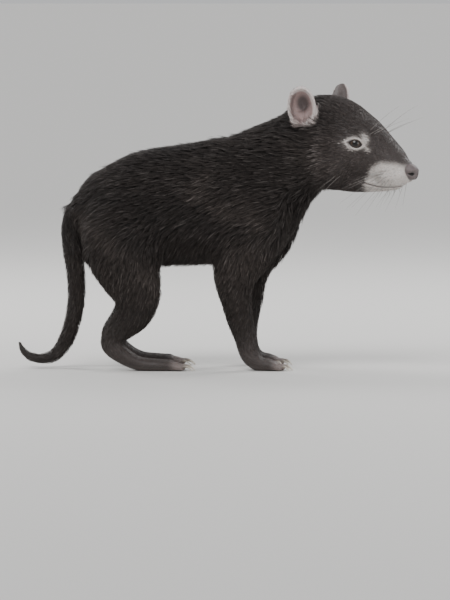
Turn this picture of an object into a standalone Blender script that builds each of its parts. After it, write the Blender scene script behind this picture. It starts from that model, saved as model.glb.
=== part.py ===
"""A standing Tasmanian devil at life size, as a still model.

The solids give the outline of the coat. Smooth lofts for the trunk, head, legs and tail are
fused into one body, which is then parted by thin cuts where a person would name its parts.
+X is the way the body faces, +Y is its left, and +Z is up. Lengths are written in millimetres
and turned into metres by MM.
"""

import math
from collections import namedtuple

import bmesh
import bpy
import numpy as np
from mathutils import Matrix, Vector

MM = 0.001

# Driving dimensions, from the drawn animal at 1.42 mm for each pixel.
CUT_GAP = 0.3
VOXEL = 2.2
BODY_TRIANGLES = 1900
HEAD_KEPT = 0.05

# How often each pass of smoothing is repeated on the fused body.
SMOOTHING = {"Broad": 90, "Middle": 18, "Fine": 2}

# How many sides the small round pieces have.
SMALL_BALL_SIDES = 14
LEG_OVAL_SIDES = 12
TAIL_SIDES = 12
TOE_SIDES = 16
CLAW_SIDES = 5

# The head turns to the animal's right, and its own frame lies on its mid-plane between the ears.
HEAD_TURN = math.radians(-28)
HEAD_PLACE = (147.0, -12.0, 0.0)

EYE_PLACE = (73.0, 37.5, 321.0)
EYE_RADIUS = 10.5
EYE_LOOK = (0.45, 0.86, 0.16)

EAR_MIDDLE = (0.0, 60.0, 372.5)
EAR_SIZE = (21.0, 13.0, 32.0)
EAR_LEAN = math.radians(13)
EAR_FACING = math.radians(58)
EAR_WALL = 3.2
EAR_HOLLOW_OUT = 0.75
EAR_HOLLOW_DEPTH = 1.25
EAR_FOOT = 3.0

NOSE_PLACE = (142.5, 0.0, 281.8)
NOSE_SIZE = (10.5, 12.0, 11.8)
NOSE_TILT = math.radians(-12)

# The middle of the body's length and width is at x = y = 0.
STANDING_SHIFT = (0.0, 7.0, 0.0)

FORE_TOES = 5
HIND_TOES = 4

# A section of a loft: its centre, its half width, and its reach above and below the centre.
# On a leg, above is its front and below is its back.
Ring = namedtuple("Ring", "x y z side above below")

TRUNK = [
    Ring(-187, 0, 218, 40, 34, 44),
    Ring(-165, 0, 225, 56, 56, 66),
    Ring(-130, 0, 226, 66, 77, 76),
    Ring(-88, 0, 228, 71, 86, 84),
    Ring(-42, 0, 231, 73, 89, 86),
    Ring(0, 0, 236, 73, 91, 91),
    Ring(34, -1, 244, 70, 93, 101),
    Ring(62, -3, 261, 64, 85, 84),
    Ring(90, -7, 284, 59, 74, 68),
    Ring(116, -10, 304, 56, 64, 60),
    Ring(138, -12, 318, 52, 52, 52),
]

SKULL = [
    Ring(-34, 0, 320, 50, 56, 54),
    Ring(-14, 0, 321, 57, 67, 62),
    Ring(10, 0, 321, 59, 70, 65),
    Ring(34, 0, 317, 56, 65.5, 62),
    Ring(56, 0, 311, 49, 55, 54),
    Ring(74, 0, 304, 41, 48, 44),
    Ring(92, 0, 296, 34, 40, 33),
    Ring(110, 0, 288, 28, 33, 25),
    Ring(124, 0, 282.5, 23, 26, 19),
    Ring(136, 0, 280, 16, 18, 14.5),
]

LOWER_JAW = [
    Ring(16, 0, 273, 42, 20, 19),
    Ring(52, 0, 272, 35, 16, 21),
    Ring(84, 0, 269, 27, 12, 17),
    Ring(108, 0, 267, 21, 10, 13),
    Ring(124, 0, 265, 13, 8, 8),
]

TAIL = [
    Ring(-165, 0, 236, 20, 18, 20),
    Ring(-190, 0, 226, 21, 22, 22),
    Ring(-203, 0, 204, 19, 19, 19),
    Ring(-204, 0, 172, 17, 17, 17),
    Ring(-200, 0, 137, 15.5, 15.5, 15.5),
    Ring(-199, 0, 101, 14.5, 14.5, 14.5),
    Ring(-204, 0, 70, 13.5, 13.5, 13.5),
    Ring(-214, 0, 40, 12.5, 12.5, 12.5),
    Ring(-229, 0, 19.5, 10.5, 10.5, 10.5),
    Ring(-247, 0, 12.5, 9, 9, 9),
    Ring(-263, 0, 15, 7.5, 7.5, 7.5),
    Ring(-275, 0, 24, 5.5, 5.5, 5.5),
    Ring(-281, 0, 37, 2.6, 2.6, 2.6),
]

# The legs are given for the right side, which has negative y.
FORE_LEG = [
    Ring(66, -42, 268, 26, 36, 40),
    Ring(62, -48, 232, 29, 46, 46),
    Ring(48, -52, 190, 27, 48, 44),
    Ring(30, -52, 150, 23, 38, 40),
    Ring(25, -51, 124, 20, 30, 31),
    Ring(27, -50, 97, 18, 24, 22),
    Ring(33, -49, 72, 17, 20, 20),
    Ring(41, -48, 46, 16, 16.5, 17),
    Ring(48, -48, 24, 16, 13, 16),
    Ring(60, -48, 12, 18, 9, 14),
    Ring(73, -48, 9, 19, 8, 11),
    Ring(82, -48, 7, 17, 6.5, 9),
]

HIND_LEG = [
    Ring(-132, -36, 236, 32, 44, 46),
    Ring(-134, -46, 205, 35, 54, 60),
    Ring(-131, -50, 170, 33, 56, 60),
    Ring(-122, -51, 138, 29, 46, 48),
    Ring(-115, -51, 108, 25, 38, 38),
    Ring(-119, -51, 82, 21, 30, 26),
    Ring(-135, -51, 62, 18, 22, 20),
    Ring(-148, -51, 46, 15.5, 16, 17),
    Ring(-146, -51, 34, 15, 15, 16),
    Ring(-128, -51, 20, 16, 11, 13.5),
    Ring(-108, -51, 11, 17, 9, 12),
    Ring(-84, -51, 8.5, 18.5, 8.5, 10.5),
    Ring(-67, -51, 8, 18, 8, 10),
]

# Rounded forms on the head, in its frame: centre and radii. The paired ones are on both sides.
CHIN = ((120, 0, 263), (11, 13, 8))
PAIRED_FORMS = {
    "cheek": ((22, 32, 294), (46, 29, 38)),
    "temple": ((10, 24, 350), (42, 30, 34)),
    "pad": ((112, 13, 276.5), (25, 14, 14.5)),
}

# The heights between which the smoothing of the trunk fades out towards the feet.
BROAD_LEVELS = (85, 150)

# Low swellings on the head: centre in the head's frame, radius and height. Both sides get them.
SWELLINGS = [
    ((58, 44, 309), 20, 5.5),
    ((64, 30, 336), 17, 4.5),
    ((18, 52, 286), 30, 5.0),
    ((118, 24, 277), 16, 2.5),
]

# How far the far fore leg stands ahead of the near one at its elbow, and where that starts.
FAR_FORE_AHEAD = 19.0
FAR_FORE_LEVELS = (36.0, 110.0)
FAR_HIND_BACK = 5.0
FAR_HIND_LEVELS = (0.0, 130.0)

# Where the body is parted: a point, and the way to the piece that is taken off there.
# Those of the head and jaw are in the head's frame.
# A leg's space is an oval's centre and radii, then the reach along x and the top of what is below.
LEG_INNER_Y = 24.0
LEG_OUTER_Y = 160.0
SHOULDER_SPACE = ((62, 66, 232), (50, 44, 78), (-24, 130), 176)
THIGH_SPACE = ((-136, 66, 214), (60, 46, 78), (-210, -30), 150)
FORE_CUTS = [((25, 0, 122), (0, 0, -1)), ((50, 0, 23), (0.5, 0, -1))]
HIND_CUTS = [((-118, 0, 112), (-0.25, 0, -1)), ((-147, 0, 42), (0.45, 0, -1))]
HEAD_CUT = ((-22, 0, 318), (0.957, 0, 0.29))
JAW_CUT = ((96, 0, 263.5), (0.06, 0, -1))
JAW_BACK = (56, 0, 260)
TRUNK_CUTS = [
    ("neck", (82, -4, 283), (0.893, 0, 0.45)),
    ("chest", (-8, 0, 232), (1, 0, 0)),
    ("abdomen", (-98, 0, 228), (1, 0, 0)),
]
TAIL_CUTS = [
    ("tail_root", (-204, 0, 168), (0, 0, -1)),
    ("tail_middle", (-205, 0, 66), (-0.15, 0, -1)),
]

TOE_RADIUS = 5.4
FORE_TOE_ROOT = (76.0, 7.2)
FORE_TOE_TIP = (94.0, 4.6)
HIND_TOE_ROOT = (-66.0, 7.8)
HIND_TOE_TIP = (-47.0, 4.8)
TOE_SPACING = 9.6
CLAW_LENGTH = {"fore": 11.5, "hind": 14.5}
CLAW_RINGS = 4
CLAW_ROOT_RADIUS = 2.1
CLAW_TIP_RADIUS = 0.5

COAT_BROWN = (0.032, 0.028, 0.027)
MUZZLE_PALE = (0.62, 0.56, 0.53)
EAR_PINK = (0.55, 0.42, 0.40)
NOSE_GREY = (0.36, 0.32, 0.31)
CLAW_HORN = (0.50, 0.46, 0.40)
EYE_BLACK = (0.010, 0.008, 0.007)


def clear_scene():
    for item in list(bpy.data.objects):
        bpy.data.objects.remove(item)


def collection(name):
    made = bpy.data.collections.new(name)
    bpy.context.scene.collection.children.link(made)
    return made


def material(name, colour, roughness):
    made = bpy.data.materials.new(name)
    made.use_nodes = True
    shader = made.node_tree.nodes["Principled BSDF"]
    shader.inputs["Base Color"].default_value = (*colour, 1.0)
    shader.inputs["Roughness"].default_value = roughness
    shader.inputs["Metallic"].default_value = 0.0
    return made


def smoothstep(value, low, high):
    t = np.clip((np.asarray(value, float) - low) / (high - low), 0.0, 1.0)
    return t * t * (3.0 - 2.0 * t)


def head_matrix():
    return Matrix.Translation(Vector(HEAD_PLACE) * MM) @ Matrix.Rotation(HEAD_TURN, 4, "Z")


def splined(rings, steps):
    """The rings with steps sections for each span, on a Catmull-Rom curve through them."""
    points = np.array(rings, float)
    ends = np.vstack([2 * points[0] - points[1], points, 2 * points[-1] - points[-2]])
    found = []
    for i in range(len(points) - 1):
        before, start, stop, after = ends[i : i + 4]
        for t in np.arange(steps) / steps:
            found.append(
                0.5
                * (
                    2 * start
                    + (stop - before) * t
                    + (2 * before - 5 * start + 4 * stop - after) * t**2
                    + (3 * start - before - 3 * stop + after) * t**3
                )
            )
    return np.array(found + [points[-1]])


def with_round_ends(sections, ways, cap, domes):
    """Adds shrinking sections past both ends, so that the loft closes with a dome."""
    first, last = [], []
    for angle in np.radians(80 * (1 - np.arange(domes) / domes)):
        for group, section, way, sign in (
            (first, sections[0], ways[0], -1),
            (last, sections[-1], ways[-1], 1),
        ):
            made = section.copy()
            made[:3] += sign * way * cap * section[3:].mean() * math.sin(angle)
            made[3:] *= math.cos(angle)
            group.append(made)
    sections = np.vstack([first, sections, last[::-1]])
    ways = np.vstack([[ways[0]] * len(first), ways, [ways[-1]] * len(last)])
    return sections, ways


def loft(name, rings, power=2.2, steps=4, sides=32, cap=0.6, domes=4, place=None):
    """A closed tube through the rings, whose sections are superellipses of that power."""
    sections = splined(rings, steps)
    ways = np.gradient(sections[:, :3], axis=0)
    ways /= np.linalg.norm(ways, axis=1)[:, None]
    sections, ways = with_round_ends(sections, ways, cap, domes)
    across = np.array([0.0, 1.0, 0.0]) - ways * ways[:, 1:2]
    across /= np.linalg.norm(across, axis=1)[:, None]
    upward = np.cross(ways, across)
    angles = np.arange(sides) * 2 * math.pi / sides
    sideways = np.sign(np.cos(angles)) * np.abs(np.cos(angles)) ** (2 / power)
    height = np.sign(np.sin(angles)) * np.abs(np.sin(angles)) ** (2 / power)
    reach = np.where(height[None, :] > 0, sections[:, 4:5], sections[:, 5:6]) * height
    points = (
        sections[:, None, :3]
        + (sections[:, 3:4] * sideways)[:, :, None] * across[:, None, :]
        + reach[:, :, None] * upward[:, None, :]
    ) * MM
    starts = np.arange(len(sections)) * sides
    faces = [
        (low + j, low + (j + 1) % sides, high + (j + 1) % sides, high + j)
        for low, high in zip(starts[:-1].tolist(), starts[1:].tolist())
        for j in range(sides)
    ]
    faces.append(tuple(range(sides))[::-1])
    faces.append(tuple(int(starts[-1]) + j for j in range(sides)))
    mesh = bpy.data.meshes.new(name)
    mesh.from_pydata(points.reshape(-1, 3).tolist(), [], faces)
    outward(mesh)
    made = bpy.data.objects.new(name, mesh)
    bpy.context.scene.collection.objects.link(made)
    if place is not None:
        made.matrix_world = place
    return made


def outward(mesh):
    """Turns every face of a closed mesh outwards."""
    work = bmesh.new()
    work.from_mesh(mesh)
    bmesh.ops.recalc_face_normals(work, faces=work.faces)
    work.to_mesh(mesh)
    work.free()


def ball(name, centre, radii, place=None, turn=None, segments=32):
    """An ellipsoid with these radii, turned about its own centre before it is placed."""
    bpy.ops.mesh.primitive_uv_sphere_add(segments=segments, ring_count=segments // 2, radius=1.0)
    made = bpy.context.object
    made.name = name
    shape = Matrix.Diagonal((*(Vector(radii) * MM), 1.0))
    spin = turn if turn is not None else Matrix.Identity(4)
    made.data.transform(Matrix.Translation(Vector(centre) * MM) @ spin @ shape)
    if place is not None:
        made.matrix_world = place
    return made


def box(name, low, high):
    """A box between two corners."""
    bpy.ops.mesh.primitive_cube_add(size=1.0)
    made = bpy.context.object
    made.name = name
    low, high = Vector(low) * MM, Vector(high) * MM
    made.data.transform(
        Matrix.Translation((low + high) / 2) @ Matrix.Diagonal((*(high - low), 1.0))
    )
    return made


def side_of(name, point, way, size=420.0):
    """A big box on the side of the plane through point that way points to."""
    made = box(name, (-size, -size, 0), (size, size, size))
    turn = Vector(way).to_track_quat("Z", "Y").to_matrix().to_4x4()
    made.data.transform(Matrix.Translation(Vector(point) * MM) @ turn)
    return made


def settled(item, name=None):
    """Replaces an object by its evaluated mesh, in world space."""
    graph = bpy.context.evaluated_depsgraph_get()
    bpy.context.view_layer.update()
    found = item.evaluated_get(graph)
    mesh = bpy.data.meshes.new_from_object(found)
    mesh.transform(found.matrix_world)
    made = bpy.data.objects.new(name or item.name, mesh)
    bpy.context.scene.collection.objects.link(made)
    if name is None or name == item.name:
        title = item.name
        bpy.data.objects.remove(item)
        made.name = title
    else:
        bpy.data.objects.remove(item)
    return made


def copy_of(item, name):
    made = item.copy()
    made.data = item.data.copy()
    made.name = name
    bpy.context.scene.collection.objects.link(made)
    return made


def fused(name, items, voxel):
    """One closed surface round all the items, on a grid of voxels."""
    work = bmesh.new()
    for item in items:
        mesh = item.data.copy()
        mesh.transform(item.matrix_world)
        work.from_mesh(mesh)
        bpy.data.objects.remove(item)
    mesh = bpy.data.meshes.new(name)
    work.to_mesh(mesh)
    work.free()
    made = bpy.data.objects.new(name, mesh)
    bpy.context.scene.collection.objects.link(made)
    remesh = made.modifiers.new("Voxels", "REMESH")
    remesh.mode = "VOXEL"
    remesh.voxel_size = voxel * MM
    return settled(made)


def points_of(item):
    points = np.empty(len(item.data.vertices) * 3)
    item.data.vertices.foreach_get("co", points)
    return points.reshape(-1, 3)


def weight_group(item, name, weights):
    group = item.vertex_groups.new(name=name)
    levels = np.round(np.clip(weights, 0, 1) * 10).astype(int)
    for level in range(1, 11):
        group.add(np.flatnonzero(levels == level).tolist(), level / 10, "REPLACE")
    return name


def head_share(points):
    """1 on the head, 0 on the rest, for points in metres."""
    local = (points / MM - np.array(HEAD_PLACE)) @ np.array(head_matrix().to_3x3())
    return smoothstep(local[:, 0], -30, 10) * (points[:, 2] > 200 * MM)


def softened(item):
    """Blends the lofts into each other: widely on the trunk, and least on the muzzle and feet."""
    points = points_of(item)
    height = points[:, 2] / MM
    local = (points / MM - np.array(HEAD_PLACE)) @ np.array(head_matrix().to_3x3())
    head = head_share(points)
    muzzle = head * smoothstep(local[:, 0], 60, 110)
    broad = smoothstep(height, *BROAD_LEVELS) * (1 - head)
    middle = smoothstep(height, 15, 60) * (1 - 0.75 * muzzle)
    passes = (("Broad", broad), ("Middle", middle), ("Fine", np.ones(len(points))))
    for title, weights in passes:
        smooth = item.modifiers.new(title, "SMOOTH")
        smooth.factor = 0.5
        smooth.iterations = SMOOTHING[title]
        smooth.vertex_group = weight_group(item, title, weights)
    return settled(item)


def swollen(item):
    """Raises the head's low swellings along the surface's own normals."""
    points = points_of(item)
    normals = np.empty(len(points) * 3)
    item.data.vertices.foreach_get("normal", normals)
    normals = normals.reshape(-1, 3)
    local = (points / MM - np.array(HEAD_PLACE)) @ np.array(head_matrix().to_3x3())
    raised = np.zeros(len(points))
    for (x, y, z), radius, height in SWELLINGS:
        for side in (-1, 1):
            far = np.linalg.norm(local - np.array((x, side * y, z)), axis=1)
            raised += height * np.exp(-((far / radius) ** 2))
    points += normals * (raised * MM)[:, None]
    item.data.vertices.foreach_set("co", points.ravel())
    item.data.update()
    return item


def thinned(item, triangles):
    """Fewer faces, with more of them kept on the head."""
    keep = head_share(points_of(item))
    work = item.modifiers.new("Fewer", "DECIMATE")
    work.ratio = triangles / (2 * len(item.data.polygons))
    work.vertex_group = weight_group(item, "Collapse", 1 - HEAD_KEPT * keep)
    work.vertex_group_factor = 1.0
    return settled(item)


def boolean(item, cutter, operation):
    work = item.modifiers.new("Cut", "BOOLEAN")
    work.operation = operation
    work.solver = "EXACT"
    work.object = cutter
    return settled(item)


def grown(cutter, gap):
    """A copy of a cutter, moved out by the gap along its normals."""
    made = copy_of(cutter, cutter.name + "_grown")
    work = made.modifiers.new("Grow", "DISPLACE")
    work.mid_level = 0.0
    work.strength = gap * MM
    return settled(made)


def carved(item, cutter, inside_name, gap=CUT_GAP):
    """Parts an object in two. What the cutter holds gets its own name."""
    inside = boolean(copy_of(item, inside_name), cutter, "INTERSECT")
    wider = grown(cutter, gap)
    outside = boolean(item, wider, "DIFFERENCE")
    bpy.data.objects.remove(wider)
    bpy.data.objects.remove(cutter)
    inside.name = inside_name
    return inside, outside


def socketed(host, plug, gap=CUT_GAP):
    """Takes a seat for the plug out of its host, a gap wider all round."""
    wider = grown(plug, gap)
    made = boolean(host, wider, "DIFFERENCE")
    bpy.data.objects.remove(wider)
    return made


def leg_rings(rings, side, ahead, levels):
    """The leg for one side, moved along x by ahead above the two levels."""
    found = []
    for ring in rings:
        share = float(smoothstep(ring.z, *levels))
        found.append(ring._replace(x=ring.x + ahead * share, y=side * abs(ring.y)))
    return found


def toe_lines(root, tip, count, foot_y, side):
    """The root and the tip of each toe of a foot, from its outer toe to its inner one."""
    lines = []
    for k in range(count):
        place = k - (count - 1) / 2
        if count == FORE_TOES:
            place = k - 1.7
        shorter = 1.6 * (place + 0.2) ** 2
        out = side * (abs(foot_y) - place * TOE_SPACING * 0.86)
        out_tip = side * (abs(foot_y) - place * TOE_SPACING * 1.04)
        lines.append(
            (
                Vector((root[0] - shorter * 1.4, out, root[1])),
                Vector((tip[0] - shorter * 1.3, out_tip, tip[1])),
            )
        )
    return lines


def toe(name, line):
    root, tip = line
    along = tip - root
    rings = [
        Ring(*(root + along * t), TOE_RADIUS * s, TOE_RADIUS * s, TOE_RADIUS * s)
        for t, s in ((-0.3, 0.9), (0.3, 0.92), (0.72, 0.98), (1.0, 0.86))
    ]
    return loft(name, rings, power=2.0, sides=TOE_SIDES, cap=0.8)


def claw(name, line, length):
    """A curved claw that leaves the toe's tip, arches over and ends just above the floor."""
    root, tip = line
    way = (tip - root).normalized()
    level = Vector((way.x, way.y, 0)).normalized()
    start = tip + way * TOE_RADIUS * 0.35 + Vector((0, 0, 1.4))
    rings = []
    for t in np.linspace(0, 1, CLAW_RINGS):
        drop = (tip.z + 0.6) * t**1.8 - 1.6 * math.sin(math.pi * t)
        point = start + level * (length * t) - Vector((0, 0, drop))
        radius = CLAW_ROOT_RADIUS + (CLAW_TIP_RADIUS - CLAW_ROOT_RADIUS) * t**1.1
        rings.append(Ring(*point, radius * 0.8, radius, radius))
    return loft(name, rings, power=2.0, steps=1, sides=CLAW_SIDES, cap=0.3, domes=1)


def head_forms():
    """The rounded forms that stand on the skull loft: cheeks, temples, muzzle pads and chin."""
    place = head_matrix()
    forms = [
        loft("skull", SKULL, power=2.2, place=place),
        loft("jaw", LOWER_JAW, power=2.2, place=place),
        ball("chin", *CHIN, place),
    ]
    for side in (-1, 1):
        for title, ((x, y, z), radii) in PAIRED_FORMS.items():
            forms.append(ball(title, (x, side * y, z), radii, place))
    return forms


def ear(name, side):
    """A cupped oval ear, open towards the front and the outside, with a solid foot in the head."""
    lean = Matrix.Rotation(-side * EAR_LEAN, 4, "X") @ Matrix.Rotation(side * EAR_FACING, 4, "Z")
    middle = Vector((EAR_MIDDLE[0], side * EAR_MIDDLE[1], EAR_MIDDLE[2]))
    width, depth, height = EAR_SIZE
    facing = lean.to_3x3() @ Vector((1, 0, 0))
    upward = lean.to_3x3() @ Vector((0, 0, 1))
    hollow_middle = middle + facing * (depth * EAR_HOLLOW_OUT) + upward * EAR_FOOT
    hollow_size = (depth * EAR_HOLLOW_DEPTH, width - EAR_WALL, height - EAR_WALL - EAR_FOOT)
    place, sides = head_matrix(), SMALL_BALL_SIDES
    shell = settled(ball(name, middle, (depth, width, height), place, lean, sides))
    hollow = settled(ball("ear_hollow", hollow_middle, hollow_size, place, lean, sides))
    shell = boolean(shell, hollow, "DIFFERENCE")
    bpy.data.objects.remove(hollow)
    return shell


def eyeball(name, side):
    """An eye whose pole points out through the lids."""
    centre = (EYE_PLACE[0], side * EYE_PLACE[1], EYE_PLACE[2])
    look = Vector((EYE_LOOK[0], side * EYE_LOOK[1], EYE_LOOK[2]))
    turn = look.to_track_quat("Z", "Y").to_matrix().to_4x4()
    return settled(ball(name, centre, (EYE_RADIUS,) * 3, head_matrix(), turn, SMALL_BALL_SIDES))


def largest_piece(item):
    """Keeps the biggest of an object's loose pieces, so that no sliver of a cut stays."""
    work = bmesh.new()
    work.from_mesh(item.data)
    bmesh.ops.remove_doubles(work, verts=work.verts, dist=0.00001)
    left = set(work.faces)
    pieces = []
    while left:
        piece = [left.pop()]
        for face in piece:
            for edge in face.edges:
                for other in edge.link_faces:
                    if other in left:
                        left.remove(other)
                        piece.append(other)
        pieces.append(piece)
    pieces.sort(key=lambda piece: sum(face.calc_area() for face in piece))
    bmesh.ops.delete(work, geom=[face for piece in pieces[:-1] for face in piece], context="FACES")
    bmesh.ops.triangulate(work, faces=work.faces)
    work.to_mesh(item.data)
    work.free()


def whole_body():
    """The fused and softened body with its legs and toes, before it is parted."""
    forms = [loft("trunk", TRUNK, power=2.3, sides=40)]
    forms += head_forms()
    for side in (-1, 1):
        fore, hind = legs_of(side)
        forms.append(loft("fore_leg", fore, power=2.1))
        forms.append(loft("hind_leg", hind, power=2.1))
        for line in toe_lines(FORE_TOE_ROOT, FORE_TOE_TIP, FORE_TOES, FORE_LEG[-1].y, side):
            forms.append(toe("toe", line))
        for line in toe_lines(HIND_TOE_ROOT, HIND_TOE_TIP, HIND_TOES, HIND_LEG[-1].y, side):
            forms.append(toe("toe", line))
    return swollen(softened(fused("body", forms, VOXEL)))


def legs_of(side):
    """The rings of one side's two legs. The far ones stand a little apart from the near ones."""
    far = side > 0
    fore = leg_rings(FORE_LEG, side, FAR_FORE_AHEAD * far, FAR_FORE_LEVELS)
    hind = leg_rings(HIND_LEG, side, -FAR_HIND_BACK * far, FAR_HIND_LEVELS)
    return fore, hind


def plugs():
    """The pieces that are seated in the body: tail, ears, nose, eyes and claws."""
    tail = loft("tail", TAIL, power=2.0, steps=1, sides=TAIL_SIDES, cap=0.4, domes=1)
    made = {"tail": settled(tail)}
    tilt = Matrix.Rotation(NOSE_TILT, 4, "Y")
    nose = ball("nose", NOSE_PLACE, NOSE_SIZE, head_matrix(), tilt, SMALL_BALL_SIDES)
    made["nose"] = settled(nose)
    for side, title in ((-1, "right"), (1, "left")):
        made["ear_" + title] = ear("ear_" + title, side)
        made["eye_" + title] = eyeball("eye_" + title, side)
        fore = toe_lines(FORE_TOE_ROOT, FORE_TOE_TIP, FORE_TOES, FORE_LEG[-1].y, side)
        hind = toe_lines(HIND_TOE_ROOT, HIND_TOE_TIP, HIND_TOES, HIND_LEG[-1].y, side)
        for foot, lines in (("fore", fore), ("hind", hind)):
            for k, line in enumerate(lines, 1):
                name = f"claw_{foot}_{title}_{k}"
                made[name] = settled(claw(name, line, CLAW_LENGTH[foot]))
    return made


def leg_cutter(side, middle, size, foot_x, top):
    """The space of one leg: an oval over the shoulder or thigh, and all that is below it."""
    oval = settled(ball("oval", (middle[0], side * middle[1], middle[2]), size, segments=LEG_OVAL_SIDES))
    inner, outer = sorted((side * LEG_INNER_Y, side * LEG_OUTER_Y))
    post = box("post", (foot_x[0], inner, -20), (foot_x[1], outer, top))
    cutter = boolean(oval, post, "UNION")
    bpy.data.objects.remove(post)
    return cutter


def parted_leg(leg, names, planes):
    """Cuts a leg across, from its top down. Each plane has a point and the way to the lower part."""
    pieces = []
    for name, (point, way) in zip(names[1:], planes):
        lower, leg = carved(leg, side_of("across", point, way), name)
        leg.name = names[len(pieces)]
        pieces.append(leg)
        leg = lower
    return pieces + [leg]


def parted_body(body):
    """The body's own pieces, from its feet to its head."""
    pieces = []
    for side, title in ((-1, "right"), (1, "left")):
        names = [f"{piece}_{title}" for piece in ("upper_arm", "forearm", "forepaw")]
        cutter = leg_cutter(side, *SHOULDER_SPACE)
        leg, body = carved(body, cutter, names[0])
        pieces += parted_leg(leg, names, FORE_CUTS)
        names = [f"{piece}_{title}" for piece in ("thigh", "shank", "hindfoot")]
        cutter = leg_cutter(side, *THIGH_SPACE)
        leg, body = carved(body, cutter, names[0])
        pieces += parted_leg(leg, names, HIND_CUTS)
    turn = head_matrix().to_3x3()
    head_point = Vector(HEAD_PLACE) + turn @ Vector(HEAD_CUT[0])
    head, body = carved(body, side_of("nape", head_point, turn @ Vector(HEAD_CUT[1])), "head")
    jaw_point = Vector(HEAD_PLACE) + turn @ Vector(JAW_CUT[0])
    jaw_space = side_of("lips", jaw_point, turn @ Vector(JAW_CUT[1]))
    behind = side_of("jaw_back", Vector(HEAD_PLACE) + turn @ Vector(JAW_BACK), turn @ Vector((-1, 0, 0)))
    jaw_space = boolean(jaw_space, behind, "DIFFERENCE")
    bpy.data.objects.remove(behind)
    jaw, head = carved(head, jaw_space, "lower_jaw")
    pieces += [head, jaw]
    for name, point, way in TRUNK_CUTS:
        piece, body = carved(body, side_of("across", point, way), name)
        pieces.append(piece)
    body.name = "rump"
    return pieces + [body]


def build():
    clear_scene()
    parts = collection("tasmanian_devil")
    body = thinned(whole_body(), BODY_TRIANGLES)
    floor = box("floor_cut", (-400, -200, -50), (400, 200, 0))
    body = boolean(body, floor, "DIFFERENCE")
    bpy.data.objects.remove(floor)
    seated = plugs()
    for plug in seated.values():
        body = socketed(body, plug)
    pieces = parted_body(body)
    tail = seated.pop("tail")
    for name, point, way in TAIL_CUTS:
        tail, piece = carved(tail, side_of("across", point, way), "tail_rest")
        piece.name = name
        pieces.append(piece)
    tail.name = "tail_tip"
    pieces += [tail, *seated.values()]
    looks = {
        "coat": material("coat", COAT_BROWN, 0.85),
        "muzzle": material("muzzle", MUZZLE_PALE, 0.8),
        "ear": material("ear_skin", EAR_PINK, 0.65),
        "nose": material("nose_skin", NOSE_GREY, 0.45),
        "claw": material("horn", CLAW_HORN, 0.5),
        "eye": material("eye", EYE_BLACK, 0.05),
    }
    standing = bpy.data.objects.new("standing_place", None)
    standing.location = Vector(STANDING_SHIFT) * MM
    parts.objects.link(standing)
    for piece in pieces:
        largest_piece(piece)
        kind = piece.name.split("_")[0]
        look = looks.get(kind, looks["muzzle" if piece.name == "lower_jaw" else "coat"])
        piece.data.materials.clear()
        piece.data.materials.append(look)
        piece.data.shade_smooth()
        bpy.context.scene.collection.objects.unlink(piece)
        parts.objects.link(piece)
        piece.parent = standing


if __name__ == "__main__":
    build()
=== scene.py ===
"""The looks of the standing Tasmanian devil: one skin, a coat of tufts, eyes, claws and whiskers.

The same forms that give the solids are fused again here, finer, and taken in by the depth of the
coat. +X is the way the body faces, +Y is its left, and +Z is up. Tables and functions work in
millimetres, in the body's own frame, and a mesh is turned into metres when it is made.
"""

import math
from collections import namedtuple

import bmesh
import bpy
import numpy as np
from mathutils import Matrix, Vector
from mathutils.bvhtree import BVHTree
from mathutils.kdtree import KDTree


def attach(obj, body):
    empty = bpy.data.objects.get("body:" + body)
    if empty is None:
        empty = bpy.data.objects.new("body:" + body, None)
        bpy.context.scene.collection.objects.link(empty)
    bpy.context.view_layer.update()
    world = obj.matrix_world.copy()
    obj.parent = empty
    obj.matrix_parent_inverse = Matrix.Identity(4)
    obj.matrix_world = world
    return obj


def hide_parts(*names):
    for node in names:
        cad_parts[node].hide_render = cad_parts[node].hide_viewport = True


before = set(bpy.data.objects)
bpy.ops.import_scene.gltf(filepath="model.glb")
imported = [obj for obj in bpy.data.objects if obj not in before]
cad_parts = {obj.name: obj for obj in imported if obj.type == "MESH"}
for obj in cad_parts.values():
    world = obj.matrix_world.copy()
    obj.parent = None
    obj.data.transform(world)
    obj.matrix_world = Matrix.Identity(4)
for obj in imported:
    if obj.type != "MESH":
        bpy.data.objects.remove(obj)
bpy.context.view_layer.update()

MM = 0.001
STANDING_SHIFT = np.array((0.0, 7.0, 0.0))
SEED = 11

# Fineness of the skin before its face and ears are made finer.
VOXEL = 2.3

HEAD_TURN = math.radians(-28)
HEAD_PLACE = np.array((147.0, -12.0, 0.0))

EYE_PLACE = np.array((73.0, 36.8, 321.0))
EYE_RADIUS = 10.5
EYE_LOOK = np.array((0.45, 0.86, 0.16))
EYE_TILT = math.radians(-6)
EYE_OPENING = (9.3, 4.1)
EYE_RING = (13.0, 7.4)
TEAR_LINE = ((11.0, -1.5, 7.5), (16.5, -3.5, 5.5), (22.5, -6.0, 2.5))
LID_THICKNESS = 1.2
# How far the cornea stands out, as a share of the eye's radius, and its radius.
CORNEA_HEIGHT = 0.055
CORNEA_RADIUS = 5.5

EAR_MIDDLE = np.array((0.0, 60.0, 372.5))
EAR_SIZE = (21.0, 13.0, 32.0)
EAR_LEAN = math.radians(13)
EAR_FACING = math.radians(58)
EAR_WALL = 3.6
EAR_HOLLOW_OUT = 0.75
EAR_HOLLOW_DEPTH = 1.25
EAR_FOOT = 3.0
# Half sizes of the room that holds an ear's free part.
EAR_ROOM = (17.0, 24.0, 35.0)

NOSE_PLACE = np.array((142.5, 0.0, 281.8))
NOSE_SIZE = (10.5, 12.0, 11.8)
NOSE_TILT = math.radians(-12)
NOSTRIL = np.array((147.5, 7.4, 279.5))

# The nose's bare pad: the height of its middle, its half width and half height, and its start.
PAD_HEIGHT = 282.3
PAD_HALF = (13.5, 12.3)
PAD_AHEAD = 135.0

FORE_TOES = 5
HIND_TOES = 4

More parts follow.
